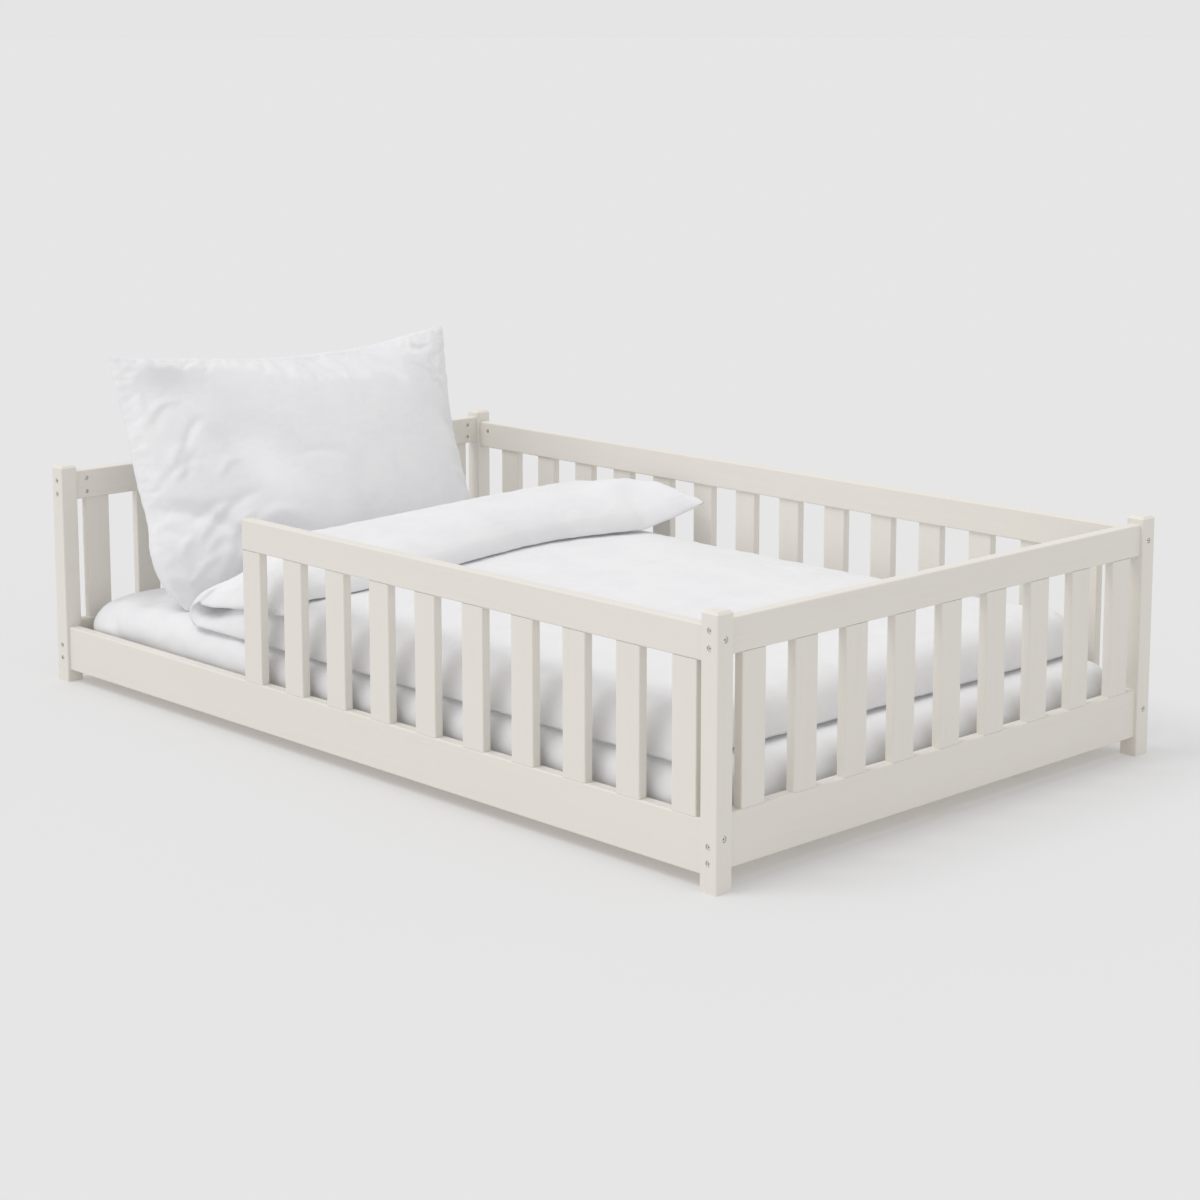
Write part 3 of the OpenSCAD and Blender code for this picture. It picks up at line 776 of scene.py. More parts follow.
@dataclass
class Mattress:
    """Foam mattress in knitted ticking, under a fitted cotton sheet.

    Attributes:
        step: grid spacing of the sheet.
        corner: radius of the upright corners.
        edge: radius of the top and bottom edges.
        sheet_thickness: thickness of the cotton.
        core_inset: how far the foam stays inside its CAD block at the sides.
        foam_step: grid spacing of the foam.
        quilt_pitch: spacing of the quilting's hollows.
        quilt_depth: depth of those hollows.
        head_line: x past which the bed is bare towards the head, where the sheet crumples.
        head_sink: how far the two head corners sink.
        hem: width of the hem that is turned in underneath.
    """

    finishes: Finishes
    step: float = mm(17)
    corner: float = mm(62)
    edge: float = mm(46)
    sheet_thickness: float = mm(1.0)
    core_inset: float = mm(9)
    foam_step: float = mm(26)
    quilt_pitch: float = mm(120)
    quilt_depth: float = mm(1.5)
    head_line: float = mm(-420)
    head_sink: float = mm(16)
    hem: float = mm(66)

    def foam(self) -> Any:
        """The mattress itself, a soft-edged block a little inside its sheet.

        Returns:
            The piece.
        """
        low, high = box("mattress")
        inset = np.array([self.core_inset, self.core_inset, mm(6)])
        points, faces = rounded_block(low + inset, high - inset, self.foam_step, self.corner, self.edge)
        waves = np.prod(np.sin(points[:, :2] * math.pi / self.quilt_pitch), axis=1)
        under = points[:, 2] < (low[2] + high[2]) / 2
        points[:, 2] += np.where(under, 1.0, -1.0) * self.quilt_depth * np.abs(waves)
        points = self.sink_corners(points, low, high)
        head = smooth((self.head_line - points[:, 0]) / mm(200))
        points[:, 2] -= np.where(under, 0.0, mm(5)) * head
        piece = make_mesh("mattress_foam", points, faces)
        subdivide(piece)
        self.finishes.dress(piece, TICKING)
        return piece

    def sink_corners(self, points: Array, low: Array, high: Array) -> Array:
        """Lets the two corners at the head sink a little, as soft foam does.

        Args:
            points: points of the foam or of the sheet.
            low: lowest corner of the CAD piece.
            high: highest corner of the CAD piece.

        Returns:
            The points with their upper corners lowered.
        """
        out = points.copy()
        upper = smooth((points[:, 2] - (low[2] + mm(30))) / mm(60))
        reach = np.hypot(points[:, 0] - low[0], np.abs(points[:, 1]) - high[1])
        out[:, 2] -= self.head_sink * upper * (1.0 - smooth(reach / mm(300)))
        return out

    def sheet(self) -> Any:
        """The fitted sheet: a gathered skin over the top and sides, turned in underneath.

        Returns:
            The piece.
        """
        low, high = box("fitted_sheet")
        slack = mm(3.0)
        points, faces = rounded_block(low + slack, high - slack, self.step, self.corner, self.edge)
        seeded = np.random.default_rng(11)
        points += seeded.normal(0.0, mm(0.5), points.shape)
        piece = make_mesh("fitted_cotton_sheet", points, faces)
        open_head = smooth((mm(-600) - points[:, 0]) / mm(120))
        lower_side = smooth((high[2] - mm(45) - points[:, 2]) / mm(50))
        reach = mm(2.2) + mm(5.0) * open_head + mm(1.0) * lower_side
        reach = np.where(points[:, 2] < low[2] + mm(12), 0.0, reach)
        ClothRun(pressure=1.2, slack=0.022, frames=18, bending=0.15).apply(piece, reach)
        self.soften(piece, low, high)
        self.cut_window(piece, low, high)
        self.keep_inside(piece, low, high)
        subdivide(piece)
        thicken(piece, self.sheet_thickness)
        self.finishes.dress(piece, SHEET_PERCALE)
        return piece

    def soften(self, piece: Any, low: Array, high: Array) -> None:
        """Bulges the sides, lets the head corners sink and crumples the bare end of the sheet.

        Args:
            piece: the closed skin.
            low: lowest corner of the CAD sheet.
            high: highest corner of the CAD sheet.
        """
        points = points_of(piece.data)
        normals = points_of(piece.data, "normal")
        upper = smooth((points[:, 2] - (low[2] + mm(30))) / mm(60))
        seeded = np.random.default_rng(41)

        def swing(place: Array, wavelength: float) -> Array:
            """A sine along a place, its wavelength in millimetres, at a random phase."""
            return np.sin(place * 2 * math.pi / mm(wavelength) + seeded.uniform(0, 6))

        crumple = np.zeros(len(points))
        for length in (150, 115, 88, 70, 56, 47):
            angle = seeded.uniform(-0.7, 0.9)
            across = points[:, 0] * math.cos(angle) + points[:, 1] * math.sin(angle) + 0.6 * points[:, 2]
            along = points[:, 1] * math.cos(angle) - points[:, 0] * math.sin(angle)
            wave = swing(across + mm(22) * swing(along, 420), length)
            patch = smooth(0.5 + 0.9 * swing(along, 3.1 * length))
            crumple += mm(0.030 * length) * wave * patch
        head = smooth((self.head_line - points[:, 0]) / mm(260))
        rim = 0.55 * smooth((np.abs(points[:, 1]) - mm(520)) / mm(60))
        points += normals * (crumple * upper * np.maximum(head, rim))[:, None]
        points = self.sink_corners(points, low, high)
        belly = np.sin(np.clip((points[:, 2] - low[2]) / (high[2] - low[2]), 0.0, 1.0) * math.pi)
        side = smooth((np.abs(points[:, 1]) - mm(560)) / mm(36))
        points[:, 1] += np.sign(points[:, 1]) * side * mm(4.5) * belly
        set_points(piece.data, points)

    def cut_window(self, piece: Any, low: Array, high: Array) -> None:
        """Opens the sheet underneath, leaving the hem that is turned in.

        Args:
            piece: the closed skin.
            low: lowest corner of the CAD sheet.
            high: highest corner of the CAD sheet.
        """
        work = bmesh.new()
        work.from_mesh(piece.data)
        gone = []
        for face in work.faces:
            middle = face.calc_center_median()
            inside = abs(middle.x) < high[0] - self.hem and abs(middle.y) < high[1] - self.hem
            if inside and middle.z < low[2] + mm(20):
                gone.append(face)
        bmesh.ops.delete(work, geom=gone, context="FACES")
        work.to_mesh(piece.data)
        work.free()

    def keep_inside(self, piece: Any, low: Array, high: Array) -> None:
        """Keeps the sheet clear of the wood and of the bedding on it."""
        ease = np.array([mm(3), mm(5), 0.0])
        set_points(piece.data, np.clip(points_of(piece.data), low - ease, high + ease))

    def build(self) -> list[Any]:
        """Makes both pieces and puts them on the mattress body.

        Returns:
            The pieces.
        """
        foam, sheet = self.foam(), self.sheet()
        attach(foam, "mattress")
        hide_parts("mattress")
        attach(sheet, "mattress")
        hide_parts("fitted_sheet")
        return [foam, sheet]


# ---------------------------------------------------------------- two-sided padded cloth


def sew_sides(
    front: Array, back: Array, coordinates: Array
) -> tuple[Array, list[tuple[int, ...]], Array, Array, Array]:
    """Joins two grids of equal size at their borders into one closed skin.

    Args:
        front: rows by columns by 3; its faces point along row x column.
        back: the same grid on the other side.
        coordinates: rows by columns by 2 cloth coordinates.

    Returns:
        Points, faces, cloth coordinates, and the point numbers of the front and back grids.
    """
    rows, columns = front.shape[:2]
    front_numbers = np.arange(rows * columns).reshape(rows, columns)
    back_numbers = front_numbers.copy()
    inner = (rows - 2) * (columns - 2)
    back_numbers[1:-1, 1:-1] = rows * columns + np.arange(inner).reshape(rows - 2, columns - 2)
    points = np.vstack([front.reshape(-1, 3), back[1:-1, 1:-1].reshape(-1, 3)])
    uvs = np.vstack([coordinates.reshape(-1, 2), coordinates[1:-1, 1:-1].reshape(-1, 2)])
    faces = []
    for i in range(rows - 1):
        for j in range(columns - 1):
            for numbers, forward in ((front_numbers, True), (back_numbers, False)):
                quad = (numbers[i, j], numbers[i + 1, j], numbers[i + 1, j + 1], numbers[i, j + 1])
                faces.append(tuple(int(n) for n in (quad if forward else quad[::-1])))
    return points, faces, uvs, front_numbers, back_numbers


@dataclass
class Duvet:
    """Filled duvet, turned back at the head end into a plump layer with a round fold.

    The duvet is one thick quilt that follows a path: along the mattress from the foot,
    round the fold, and back over itself to its free edge. Its four sides close in a seam.

    Attributes:
        layer: thickness of the layer on the mattress.
        flap: thickness of the turned-back layer.
        gap: air between the two layers at the fold.
        rows: points across the bed.
        long_columns: points along the layer on the mattress.
        fold_columns: points round the fold.
        flap_columns: points along the turned-back layer.
        free_edge_line: y and x of the free edge across the bed, in millimetres.
    """

    finishes: Finishes
    stitching: Stitching
    layer: float = mm(88)
    flap: float = mm(84)
    gap: float = mm(16)
    rows: int = 92
    long_columns: int = 100
    fold_columns: int = 12
    flap_columns: int = 30
    free_edge_line: tuple[tuple[float, float], ...] = (
        (-600, -240),
        (-376, -226),
        (-38, -300),
        (124, -332),
        (247, -352),
        (378, -330),
        (485, -290),
        (600, -256),
    )

    def __post_init__(self) -> None:
        """Reads the duvet's place from the CAD."""
        self.low, self.high = box("duvet")
        self.floor = self.low[2] + mm(0.4)

    def free_edge(self, y: Array) -> Array:
        """Where the turned-back layer ends: its edge bows towards the head.

        Args:
            y: places across the bed.

        Returns:
            The edge's x at each place.
        """
        stops, levels = (list(map(mm, line)) for line in zip(*self.free_edge_line))
        near = [np.interp(y + mm(step), stops, levels) for step in (-80, -40, 0, 40, 80)]
        return sum(near) / len(near)

    def thickness_share(self, inside: Array, width: float) -> Array:
        """Roundness of a padded edge.

        Args:
            inside: distance in from the seam.
            width: distance over which the edge fills out.

        Returns:
            0 at the seam, 1 from width inwards.
        """
        t = np.clip(inside / width, 0.0, 1.0)
        return (1.0 - (1.0 - t) ** 2.3) ** (1.0 / 2.3)

    def path(self, y: float) -> tuple[Array, Array, Array]:
        """The duvet's middle line on one section across the bed.

        Args:
            y: place of the section.

        Returns:
            Middle points (x, z), unit normals towards the inner side of the fold, and the
            half thickness at each point.
        """
        side = self.high[1] - abs(y)
        near = smooth((mm(-330) - y) / mm(240))
        rim = self.thickness_share(side, mm(70))
        bottom = self.floor - mm(11) * (1.0 - np.clip(side / mm(34), 0.0, 1.0)) ** 2
        h1 = self.layer / 2 * rim
        far = smooth((y - mm(250)) / mm(220))
        plump_far = 0.62 + 0.24 * smooth((y + mm(420)) / mm(900))
        h2 = self.flap / 2 * plump_far * self.thickness_share(side, mm(88) - mm(44) * float(far))
        tip = self.low[0] + mm(6) + mm(36) * near
        foot = self.high[0] - mm(14) * (1.0 - np.clip(side / mm(60), 0.0, 1.0)) ** 2
        # near the front side the fold is squashed down to a thin, open loop
        squash = 1.0 - 0.74 * near
        h1_fold = h1 * squash
        h2_fold = h2 * (1.0 - 0.55 * near)
        gap = self.gap * (1.0 + 2.1 * near)
        radius = (h1_fold + h2_fold + gap) / 2 + mm(2)
        centre = tip + radius + max(h1_fold, h2_fold)
        # long layer, from the foot to the fold
        t = np.linspace(0.0, 1.0, self.long_columns)
        x = foot + (centre - foot) * t
        from_foot = foot - x
        h = h1 * self.thickness_share(from_foot, mm(75))
        into_fold = smooth(1.0 - (x - centre) / mm(170))
        h = h + (h1_fold - h1) * into_fold
        long_points = np.stack([x, bottom + h], axis=1)
        long_normals = np.tile([0.0, 1.0], (len(t), 1))
        # fold: half a turn round the gap
        turn = np.linspace(0.0, math.pi, self.fold_columns + 2)[1:-1]
        share = turn / math.pi
        fold_h = h1_fold + (h2_fold - h1_fold) * share
        middle_z = bottom + h1_fold + radius
        fold_points = np.stack([centre - radius * np.sin(turn), middle_z - radius * np.cos(turn)], axis=1)
        fold_normals = np.stack([np.sin(turn), np.cos(turn)], axis=1)
        # turned-back layer, from the fold to its free edge
        edge = float(self.free_edge(y))
        t = np.linspace(0.0, 1.0, self.flap_columns)
        fx = centre + (edge - centre) * t
        from_edge = edge - fx
        plump = self.thickness_share(from_edge, mm(150))
        rise = smooth((fx - centre) / mm(120))
        fh = (h2_fold + (h2 - h2_fold) * rise) * plump
        layer_top = bottom + 2.0 * (h1_fold + (h1 - h1_fold) * smooth((fx - centre) / mm(170)))
        air = gap + mm(4) + (mm(5) - gap) * smooth((fx - centre) / mm(200))
        fz = layer_top + air + fh
        # on the far side the edge stays up at the height of the filling
        high_edge = self.floor + self.layer + mm(6) + 0.5 * self.flap * plump_far * plump
        held_up = far * smooth((fx - centre) / mm(150)) * (high_edge > fz)
        fz = fz + (high_edge - fz) * held_up
        shoulder = smooth((y - mm(420)) / mm(110)) * (1.0 - smooth((fx - edge + mm(120)) / mm(110)))
        fz = fz + mm(28) * shoulder * smooth((fx - centre) / mm(150))
        hem = bottom + mm(52) + mm(32) * smooth((fx - centre) / mm(230))
        # the far side does not hang down: it leans up on the back panel
        drape = (1.0 - np.clip(side / mm(52), 0.0, 1.0)) ** 2 * (1.0 - far)
        fz = fz + (hem - fz) * drape
        flap_points = np.stack([fx, fz], axis=1)
        flap_normals = np.tile([0.0, -1.0], (len(t), 1))
        points = np.vstack([long_points, fold_points, flap_points])
        normals = np.vstack([long_normals, fold_normals, flap_normals])
        half = np.concatenate([h, fold_h, fh])
        # near the front side the turned-back layer leans away from the head
        lean = mm(130) * near * smooth((points[:, 1] - (bottom + mm(34))) / mm(110))
        turned = np.arange(len(points)) >= self.long_columns
        to_edge = np.clip((edge - points[:, 0]) / (edge - tip), 0.0, 1.0)
        points[:, 0] += np.where(turned, lean * to_edge**0.8, 0.0)
        half[0] = 0.0
        half[-1] = 0.0
        return points, normals, half

    def corner_ear(self, points: Array, y: Array) -> Array:
        """Lifts the free corner at the back into a pointed ear that leans on the fence.

        Args:
            points: rows by columns by 3 grid.
            y: place of each row.

        Returns:
            The grid with its corner lifted.
        """
        first = self.long_columns + self.fold_columns
        along = np.zeros(points.shape[1])
        steps = np.arange(points.shape[1] - first) / (self.flap_columns - 1)
        along[first:] = np.clip((steps - 0.35) / 0.65, 0.0, 1.0) ** 1.3
        across = np.clip((y - mm(512)) / mm(84), 0.0, 1.0) ** 1.15
        share = (across[:, None] * along[None, :])[..., None]
        lift = np.array([mm(112), mm(-14), mm(84)])
        return points + share * lift

    def skin(self) -> tuple[Any, Array, Array]:
        """Makes the closed skin of the duvet.

        Returns:
            The object, how far each point may move when it swells, and the point numbers
            of the grid on the outside of the fold.
        """
        t = np.linspace(-1.0, 1.0, self.rows)
        y = self.high[1] * (0.62 * t + 0.38 * np.sin(t * math.pi / 2))
        columns = self.long_columns + self.fold_columns + self.flap_columns
        middle = np.zeros((self.rows, columns, 3))
        normal = np.zeros((self.rows, columns, 3))
        half = np.zeros((self.rows, columns))
        for row, place in enumerate(y):
            points, normals, thick = self.path(float(place))
            middle[row, :, 0], middle[row, :, 2] = points[:, 0], points[:, 1]
            middle[row, :, 1] = place
            normal[row, :, 0], normal[row, :, 2] = normals[:, 0], normals[:, 1]
            half[row] = thick
        half[0] = 0.0
        half[-1] = 0.0
        middle = self.corner_ear(middle, y)
        steps = np.linalg.norm(np.diff(middle[self.rows // 2], axis=0), axis=1)
        run = np.concatenate([[0.0], np.cumsum(steps)])
        cloth = np.stack(np.broadcast_arrays(run[None, :], y[:, None]), axis=2)
        inner = middle + normal * half[..., None]
        outer = middle - normal * half[..., None]
        seeded = np.random.default_rng(5)
        points, faces, uvs, inner_numbers, outer_numbers = sew_sides(inner, outer, cloth)
        points = points + seeded.normal(0.0, mm(0.7), points.shape)
        piece = make_mesh("cotton_duvet", points, faces, uvs)
        reach = self.swell_reach(len(points), inner_numbers, outer_numbers, y)
        return piece, reach, outer_numbers

    def swell_reach(self, count: int, inner: Array, outer: Array, y: Array) -> Array:
        """How far each point of the skin may move.

        Args:
            count: number of points.
            inner: point numbers of the grid on the inside of the fold.
            outer: point numbers of the grid on its outside.
            y: place of each row.

        Returns:
            One distance for each point, in metres.
        """
        reach = np.full(count, mm(7.0))
        turned = self.long_columns
        reach[inner[:, :turned]] = mm(6.0)
        reach[inner[:, turned:]] = mm(5.0)
        reach[outer[:, turned:]] = mm(8.0)
        reach[outer[2:-2, 3 : turned - 6]] = 0.0
        near_front = y < mm(-380)
        fold_end = turned + self.fold_columns + 6
        reach[outer[near_front][:, turned:fold_end]] = mm(4.0)
        reach[inner[near_front][:, turned:fold_end]] = mm(3.0)
        reach[inner[:2]] = mm(5.0)
        reach[inner[-2:]] = mm(5.0)
        return reach

    def build(self) -> list[Any]:
        """Makes the duvet and its seam, and puts them on their body.

        Returns:
            The pieces.
        """
        piece, reach, outer = self.skin()
        ClothRun(pressure=2.2, slack=0.03, frames=22, bending=0.25).apply(piece, reach)
        points = points_of(piece.data)
        under = outer[2:-2, 3 : self.long_columns - 4]
        points[under, 2] = np.maximum(points[under, 2], self.floor)
        points[:, 1] = np.clip(points[:, 1], self.low[1] - mm(8), self.high[1] + mm(8))
        set_points(piece.data, points)
        seam = points[outer[2, self.long_columns :]]
        free = points[outer[2:-2, -3]]
        stitches = self.stitching.row("duvet_hem_stitches", [free, seam])
        subdivide(piece)
        self.finishes.dress(piece, PERCALE)
        for part in (piece, stitches):
            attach(part, "duvet")
        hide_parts("duvet")
        return [piece, stitches]


# ---------------------------------------------------------------- pillow


@dataclass
class Pillow:
    """Large pillow in a cotton cover, standing on its long seam and leaning on the head rail.

    Its four seams pull in a little between pointed corners. The filling bulges both panels,
    most at the bottom, and the simulation puckers the cotton along the seams.

    Attributes:
        front_swell: how far the front panel bulges.
        back_swell: how far the back panel bulges.
        columns: points across each panel.
        rows: points up each panel.
        left_seam: height share and across share of the near seam, from the bottom up.
        right_seam: the same for the far seam.
    """

    finishes: Finishes
    stitching: Stitching
    front_swell: float = mm(98)
    back_swell: float = mm(112)
    columns: int = 122
    rows: int = 84
    left_seam: tuple[tuple[float, float], ...] = (
        (0.0, -0.504),
        (0.1, -0.54),
        (0.21, -0.546),
        (0.36, -0.521),
        (0.5, -0.515),
        (0.71, -0.492),
        (1.0, -0.471),
    )
    right_seam: tuple[tuple[float, float], ...] = (
        (0.0, 0.418),
        (0.24, 0.44),
        (0.5, 0.468),
        (0.7, 0.49),
        (0.86, 0.508),
        (1.0, 0.532),
    )

    def __post_init__(self) -> None:
        """Reads the pillow's place from the CAD."""
        self.low, self.high = box("pillow")
        self.wide = self.high[1] - self.low[1]
        self.foot = np.array([self.high[0], (self.low[1] + self.high[1]) / 2, self.low[2] + mm(2.3)])
        self.rail_face = box("head_top_rail")[1][0]
        self.rail_top = box("head_top_rail")[1][2]
        self.tall = (self.high[2] - self.low[2]) * 1.105
        self.lean = np.array([-0.53, 0.848])

    def panel(self) -> tuple[Array, Array, Array]:
        """The pillow's middle surface, its seams drawn in between the corners.

        Returns:
            Rows by columns of across and upward places, and how far the surface comes
            forward of the leaning plane.
        """
        s = np.linspace(-1.0, 1.0, self.columns)[None, :]
        t = np.linspace(0.0, 1.0, self.rows)[:, None]
        left, right = (np.interp(t, *zip(*seam)) for seam in (self.left_seam, self.right_seam))
        kernel = np.ones(9) / 9.0
        for edge in (left, right):
            before = 2 * edge[0] - edge[4:0:-1, 0]
            after = 2 * edge[-1] - edge[-2:-6:-1, 0]
            padded = np.concatenate([before, edge[:, 0], after])
            edge[:, 0] = np.convolve(padded, kernel, "valid")[: len(edge)]
        across = (left + (right - left) * (s + 1.0) / 2.0) * self.wide
        sag = 1.0 - np.abs(s) ** 1.7
        top = self.tall * (1.052 - 0.022 * (s + 1.0)) - mm(34) * sag
        bottom = mm(-4) + mm(16) * sag
        upward = bottom + (top - bottom) * t
        flop = mm(46) * smooth((s - 0.45) / 0.55) * smooth((t - 0.55) / 0.45)
        return across, upward, np.broadcast_to(flop, across.shape)

    def creases(self, across: Array, upward: Array) -> Array:
        """Folds in the front panel, as a height over the smooth bulge.

        Args:
            across: across places.
            upward: upward places.

        Returns:
            Height at each place, in metres.
        """
        # start, end, height and half width (mm) of each drawn fold
        drawn = [
            # broad hollow that falls from the upper near corner into the middle
            ((-0.40, 1.0), (-0.17, 0.34), -52, 84),
            ((-0.28, 0.66), (-0.04, 0.24), -20, 64),
            # a dent across the lower near corner
            ((-0.53, 0.40), (-0.30, 0.17), -17, 20),
            ((-0.34, 0.18), (-0.10, 0.16), -11, 14),
            ((-0.36, 0.24), (-0.14, 0.25), 8, 16),
        ]
        seeded = np.random.default_rng(8)
        # folds that rise from the near side, no two alike
        for number in range(20):
            start = (seeded.uniform(-0.53, -0.34), seeded.uniform(0.04, 0.72))
            angle = seeded.uniform(0.25, 0.95)
            end = self.aim(start, angle, seeded.uniform(0.07, 0.20))
            drawn.append((start, end, seeded.uniform(4.0, 8.5) * (-1) ** number, seeded.uniform(8, 13)))
        # short drag lines under the top seam and one in the middle
        drawn += [
            ((-0.04, 0.97), (0.10, 0.80), -7, 12),
            ((0.02, 0.99), (0.13, 0.87), -7, 12),
            ((0.18, 0.99), (0.26, 0.90), -7, 12),
            ((-0.10, 0.50), (0.04, 0.43), -2.5, 11),
        ]
        # drag lines out of the four corners, each fanned round its way into the panel
        ways = {(-0.46, 1.0): -0.9, (0.52, 1.0): -2.2, (-0.50, 0.0): 0.9, (0.41, 0.0): 2.3}
        for corner, way in ways.items():
            for turn in (-0.55, -0.2, 0.2, 0.55):
                angle = way + turn + seeded.uniform(-0.1, 0.1)
                drawn.append((corner, self.aim(corner, angle, seeded.uniform(0.10, 0.2)), -7, 12))
        height = np.zeros(across.shape)
        for start, end, level, width in drawn:
            height += self.fold(across, upward, start, end, mm(level), mm(width))
        return height

    def aim(self, start: tuple[float, float], angle: float, length: float) -> tuple[float, float]:
        """The end of a fold that leaves its start at an angle, in shares of width and height."""
        return start[0] + length * math.cos(angle), start[1] + 1.5 * length * math.sin(angle)

    def fold(
        self,
        across: Array,
        upward: Array,
        start: tuple[float, float],
        end: tuple[float, float],
        height: float,
        width: float,
    ) -> Array:
        """One straight fold that fades out at both ends.

        Args:
            across: across places.
            upward: upward places.
            start: its start, as shares of the pillow's width and height.
            end: its end.
            height: height in metres; negative for a hollow.
            width: half width in metres.

        Returns:
            Height at each place.
        """
        a = np.array([start[0] * self.wide, start[1] * self.tall])
        b = np.array([end[0] * self.wide, end[1] * self.tall])
        run = b - a
        length = np.linalg.norm(run)
        run = run / length
        along = (across - a[0]) * run[0] + (upward - a[1]) * run[1]
        aside = (across - a[0]) * run[1] - (upward - a[1]) * run[0]
        bow = aside + 0.10 * length * np.sin(np.clip(along / length, 0.0, 1.0) * math.pi)
        ends = smooth(along / (0.35 * length) + 0.4) * smooth((length * 1.1 - along) / (0.6 * length))
        return height * np.exp(-((bow / width) ** 2)) * ends

    def skin(self) -> tuple[Any, Array, Array]:
        """Sews the two filled panels together.

        Returns:
            The object and the point numbers of the front and back panels.
        """
        across, upward, flop = self.panel()
        s = np.linspace(-1.0, 1.0, self.columns)[None, :]
        t = np.linspace(0.0, 1.0, self.rows)[:, None]
        round_s = (1.0 - np.abs(s) ** 2.5) ** 0.66
        round_t = (1.0 - np.abs(2.0 * t - 1.0) ** 2.3) ** 0.62
        bulge = round_s * round_t * (1.12 - 0.24 * t)
        front = np.stack([across, upward, flop + self.front_swell * bulge], axis=2)
        back = np.stack([across, upward, flop - self.back_swell * bulge], axis=2)
        rim = smooth(1.6 * round_s * round_t)
        front[..., 2] += self.creases(across, upward) * rim
        cloth = np.stack([across, upward], axis=2)
        seeded = np.random.default_rng(23)
        points, faces, uvs, first, second = sew_sides(back, front, cloth)
        points = points + seeded.normal(0.0, mm(0.35), points.shape)
        return make_mesh("cotton_pillow", points, faces, uvs), second, first

    def place(self, points: Array) -> Array:
        """Stands the pillow up on the mattress, leaning back on the head rail.

        Args:
            points: pillow in its flat frame: across, upward, front.

        Returns:
            Points in the bed's frame.
        """
        up = np.array([self.lean[0], 0.0, self.lean[1]])
        front = np.array([self.lean[1], 0.0, -self.lean[0]])
        side = np.array([0.0, 1.0, 0.0])
        basis = np.stack([side, up, front])
        return self.foot + points @ basis

    def rest(self, points: Array) -> Array:
        """Presses the pillow flat where it stands on the sheet and leans on the rail.

        Args:
            points: points in the bed's frame.

        Returns:
            The pressed points.
        """
        out = points.copy()
        floor = self.low[2] + mm(0.6)
        sunk = np.maximum(floor - out[:, 2], 0.0)
        out[:, 2] += sunk
        out[:, 0] += 0.2 * sunk * np.sign(out[:, 0] - self.foot[0])
        face = self.rail_face + mm(1.5)
        behind = (out[:, 2] < self.rail_top + mm(2)) & (out[:, 0] < face)
        out[behind, 0] = face
        return out

    def build(self) -> list[Any]:
        """Makes the pillow and its seam, and puts them on their body.

        Returns:
            The pieces.
        """
        piece, front, back = self.skin()
        reach = np.full(len(piece.data.vertices), mm(10))
        for ring_number, limit in ((0, 0.0), (1, mm(3)), (2, mm(6))):
            for grid in (front, back):
                last = -1 - ring_number
                for line in (grid[ring_number], grid[last], grid[:, ring_number], grid[:, last]):
                    reach[line] = np.minimum(reach[line], limit)
        ClothRun(pressure=1.1, slack=0.035, frames=24, bending=0.04).apply(piece, reach)
        points = self.rest(self.place(points_of(piece.data)))
        set_points(piece.data, points)
        ring = np.concatenate([front[2, 2:-2], front[2:-2, -3], front[-3, -3:1:-1], front[-3:1:-1, 2]])
        stitches = self.stitching.row("pillow_seam_stitches", [points[ring]])
        subdivide(piece)
        self.finishes.dress(piece, PERCALE)
        for part in (piece, stitches):
            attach(part, "pillow")
        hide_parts("pillow")
        return [piece, stitches]


# ---------------------------------------------------------------- studio


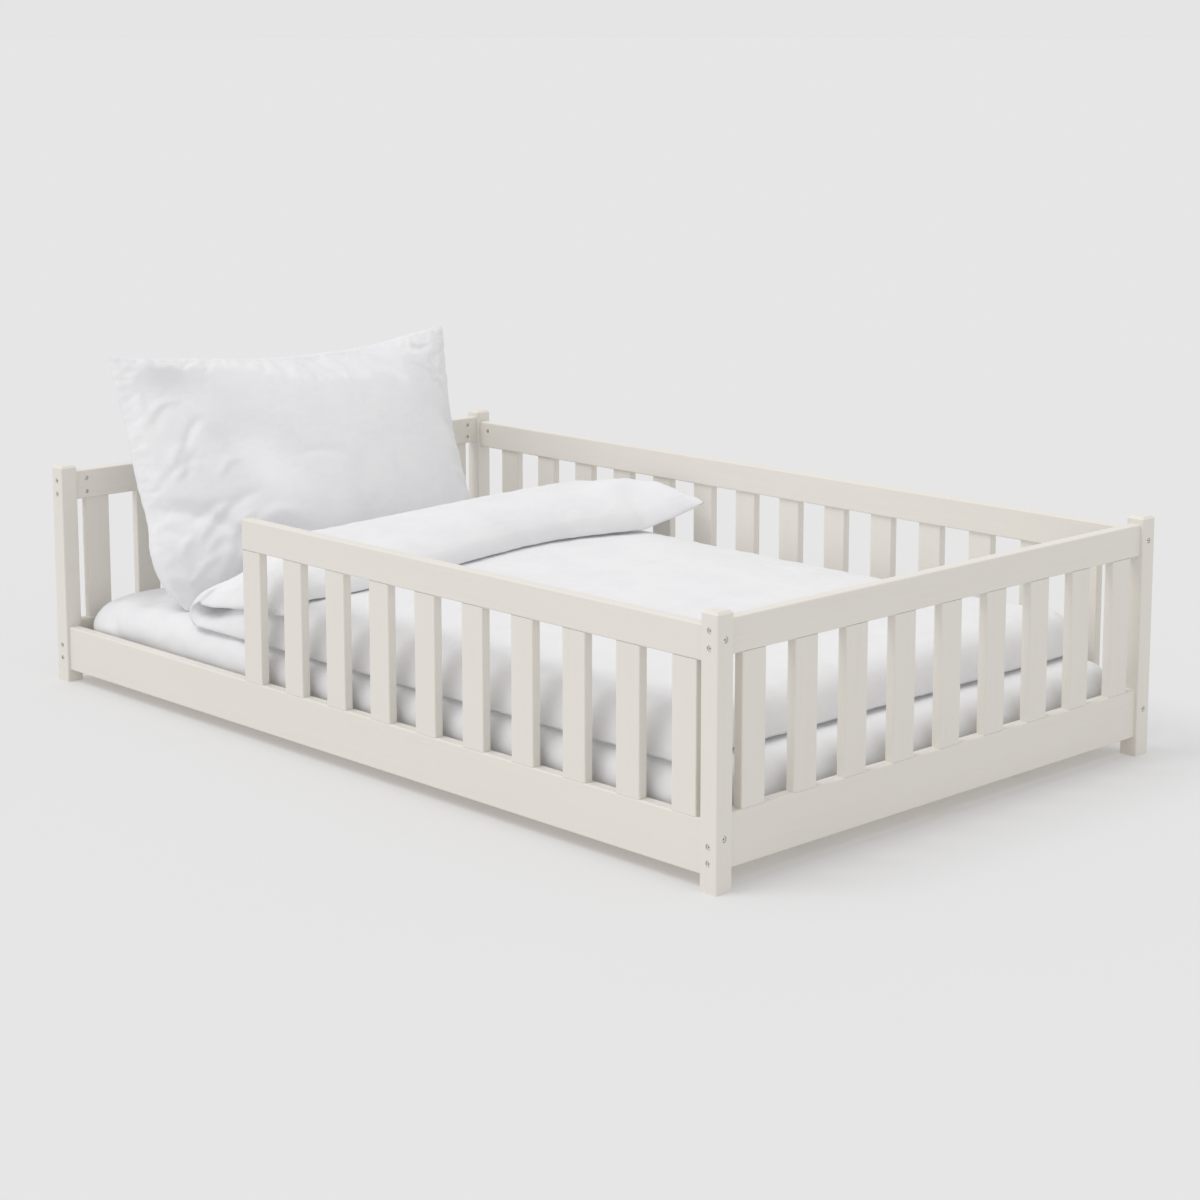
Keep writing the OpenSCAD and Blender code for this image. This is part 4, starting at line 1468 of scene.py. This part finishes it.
@dataclass
class Studio:
    """Pale floor, soft light and the camera.

    Attributes:
        camera_place: camera position in metres.
        turn: compass turn of the view, in degrees from +Y towards -X.
        tilt: how far the camera looks down, in degrees.
        lens: focal length on a 36 mm sensor, in millimetres.
        rise: upward shift of the picture.
        floor_colour: sRGB colour of the floor's matt surface.
        floor_glow: light that comes up through the floor, which keeps its shadows pale.
        sky_level: brightness of the even light from all round.
        sun_level: strength of the soft sun.
    """

    camera_place: tuple[float, float, float] = (3.962, -3.719, 1.469)
    turn: float = 46.2
    tilt: float = 9.0
    lens: float = 76.8
    rise: float = -0.134
    floor_colour: str = "#BCBCBC"
    floor_glow: float = 0.27
    sky_level: float = 0.785
    sun_level: float = 0.95

    def camera(self) -> None:
        """Sets the camera."""
        data = bpy.data.cameras.new("camera")
        data.lens = self.lens
        data.sensor_width = 36.0
        data.shift_y = self.rise
        data.clip_start, data.clip_end = 0.05, 2000.0
        camera = bpy.data.objects.new("camera", data)
        camera.location = self.camera_place
        camera.rotation_euler = (math.radians(90.0 - self.tilt), 0.0, math.radians(self.turn))
        bpy.context.scene.collection.objects.link(camera)
        bpy.context.scene.camera = camera

    def floor(self) -> None:
        """Lays a wide, plain, pale floor."""
        reach = 600.0
        corners = np.array([[-reach, -reach, 0], [reach, -reach, 0], [reach, reach, 0], [-reach, reach, 0]])
        floor = make_mesh("studio_floor", corners, [(0, 1, 2, 3)])
        recipe = Recipe("studio_floor")
        matt = recipe.add("BsdfDiffuse", {"Color": linear(self.floor_colour)})
        painted_glow = recipe.add("Emission", {"Color": (1.0, 0.995, 1.0, 1.0), "Strength": self.floor_glow})
        floor.data.materials.append(recipe.close(recipe.add("AddShader", {0: matt, 1: painted_glow})))

    def light(self) -> None:
        """Even sky light and one large soft sun from above the front side."""
        world = bpy.data.worlds.new("soft_sky")
        bpy.context.scene.world = world
        world.use_nodes = True
        tree = world.node_tree
        tree.nodes.clear()
        level = (self.sky_level, self.sky_level * 0.995, self.sky_level, 1.0)
        sky = add(tree, "ShaderNodeBackground", {"Color": level, "Strength": 1.0})
        out = add(tree, "ShaderNodeOutputWorld")
        tree.links.new(sky.outputs[0], out.inputs[0])
        data = bpy.data.lights.new("soft_sun", "SUN")
        data.energy = self.sun_level
        data.angle = math.radians(28.0)
        sun = bpy.data.objects.new("soft_sun", data)
        towards = Vector((-0.22, -0.46, 0.86))
        sun.rotation_euler = towards.to_track_quat("Z", "Y").to_euler()
        bpy.context.scene.collection.objects.link(sun)

    def build(self) -> None:
        """Sets the camera, the floor, the light and the plain colour transform."""
        self.camera()
        self.floor()
        self.light()
        bpy.context.scene.view_settings.view_transform = "Standard"


# ---------------------------------------------------------------- main


def main() -> None:
    """Builds everything in order and reports each piece."""
    logging.basicConfig(level=logging.INFO, format="%(name)s: %(message)s")
    finishes = Finishes()
    stitching = Stitching(finishes)
    Studio().build()
    LOG.info("studio ready")
    LOG.info("bed frame: %d nodes dressed", BedFrame(finishes).build())
    LOG.info("slatted base: %d nodes dressed", SlattedBase(finishes).build())
    builders: list[tuple[str, Callable[[], list[Any]]]] = [
        ("mattress", Mattress(finishes).build),
        ("duvet", Duvet(finishes, stitching).build),
        ("pillow", Pillow(finishes, stitching).build),
    ]
    for name, build in builders:
        for piece in build():
            LOG.info("%s: %s, %d faces", name, piece.name, len(piece.data.polygons))


if __name__ == "__main__":
    main()
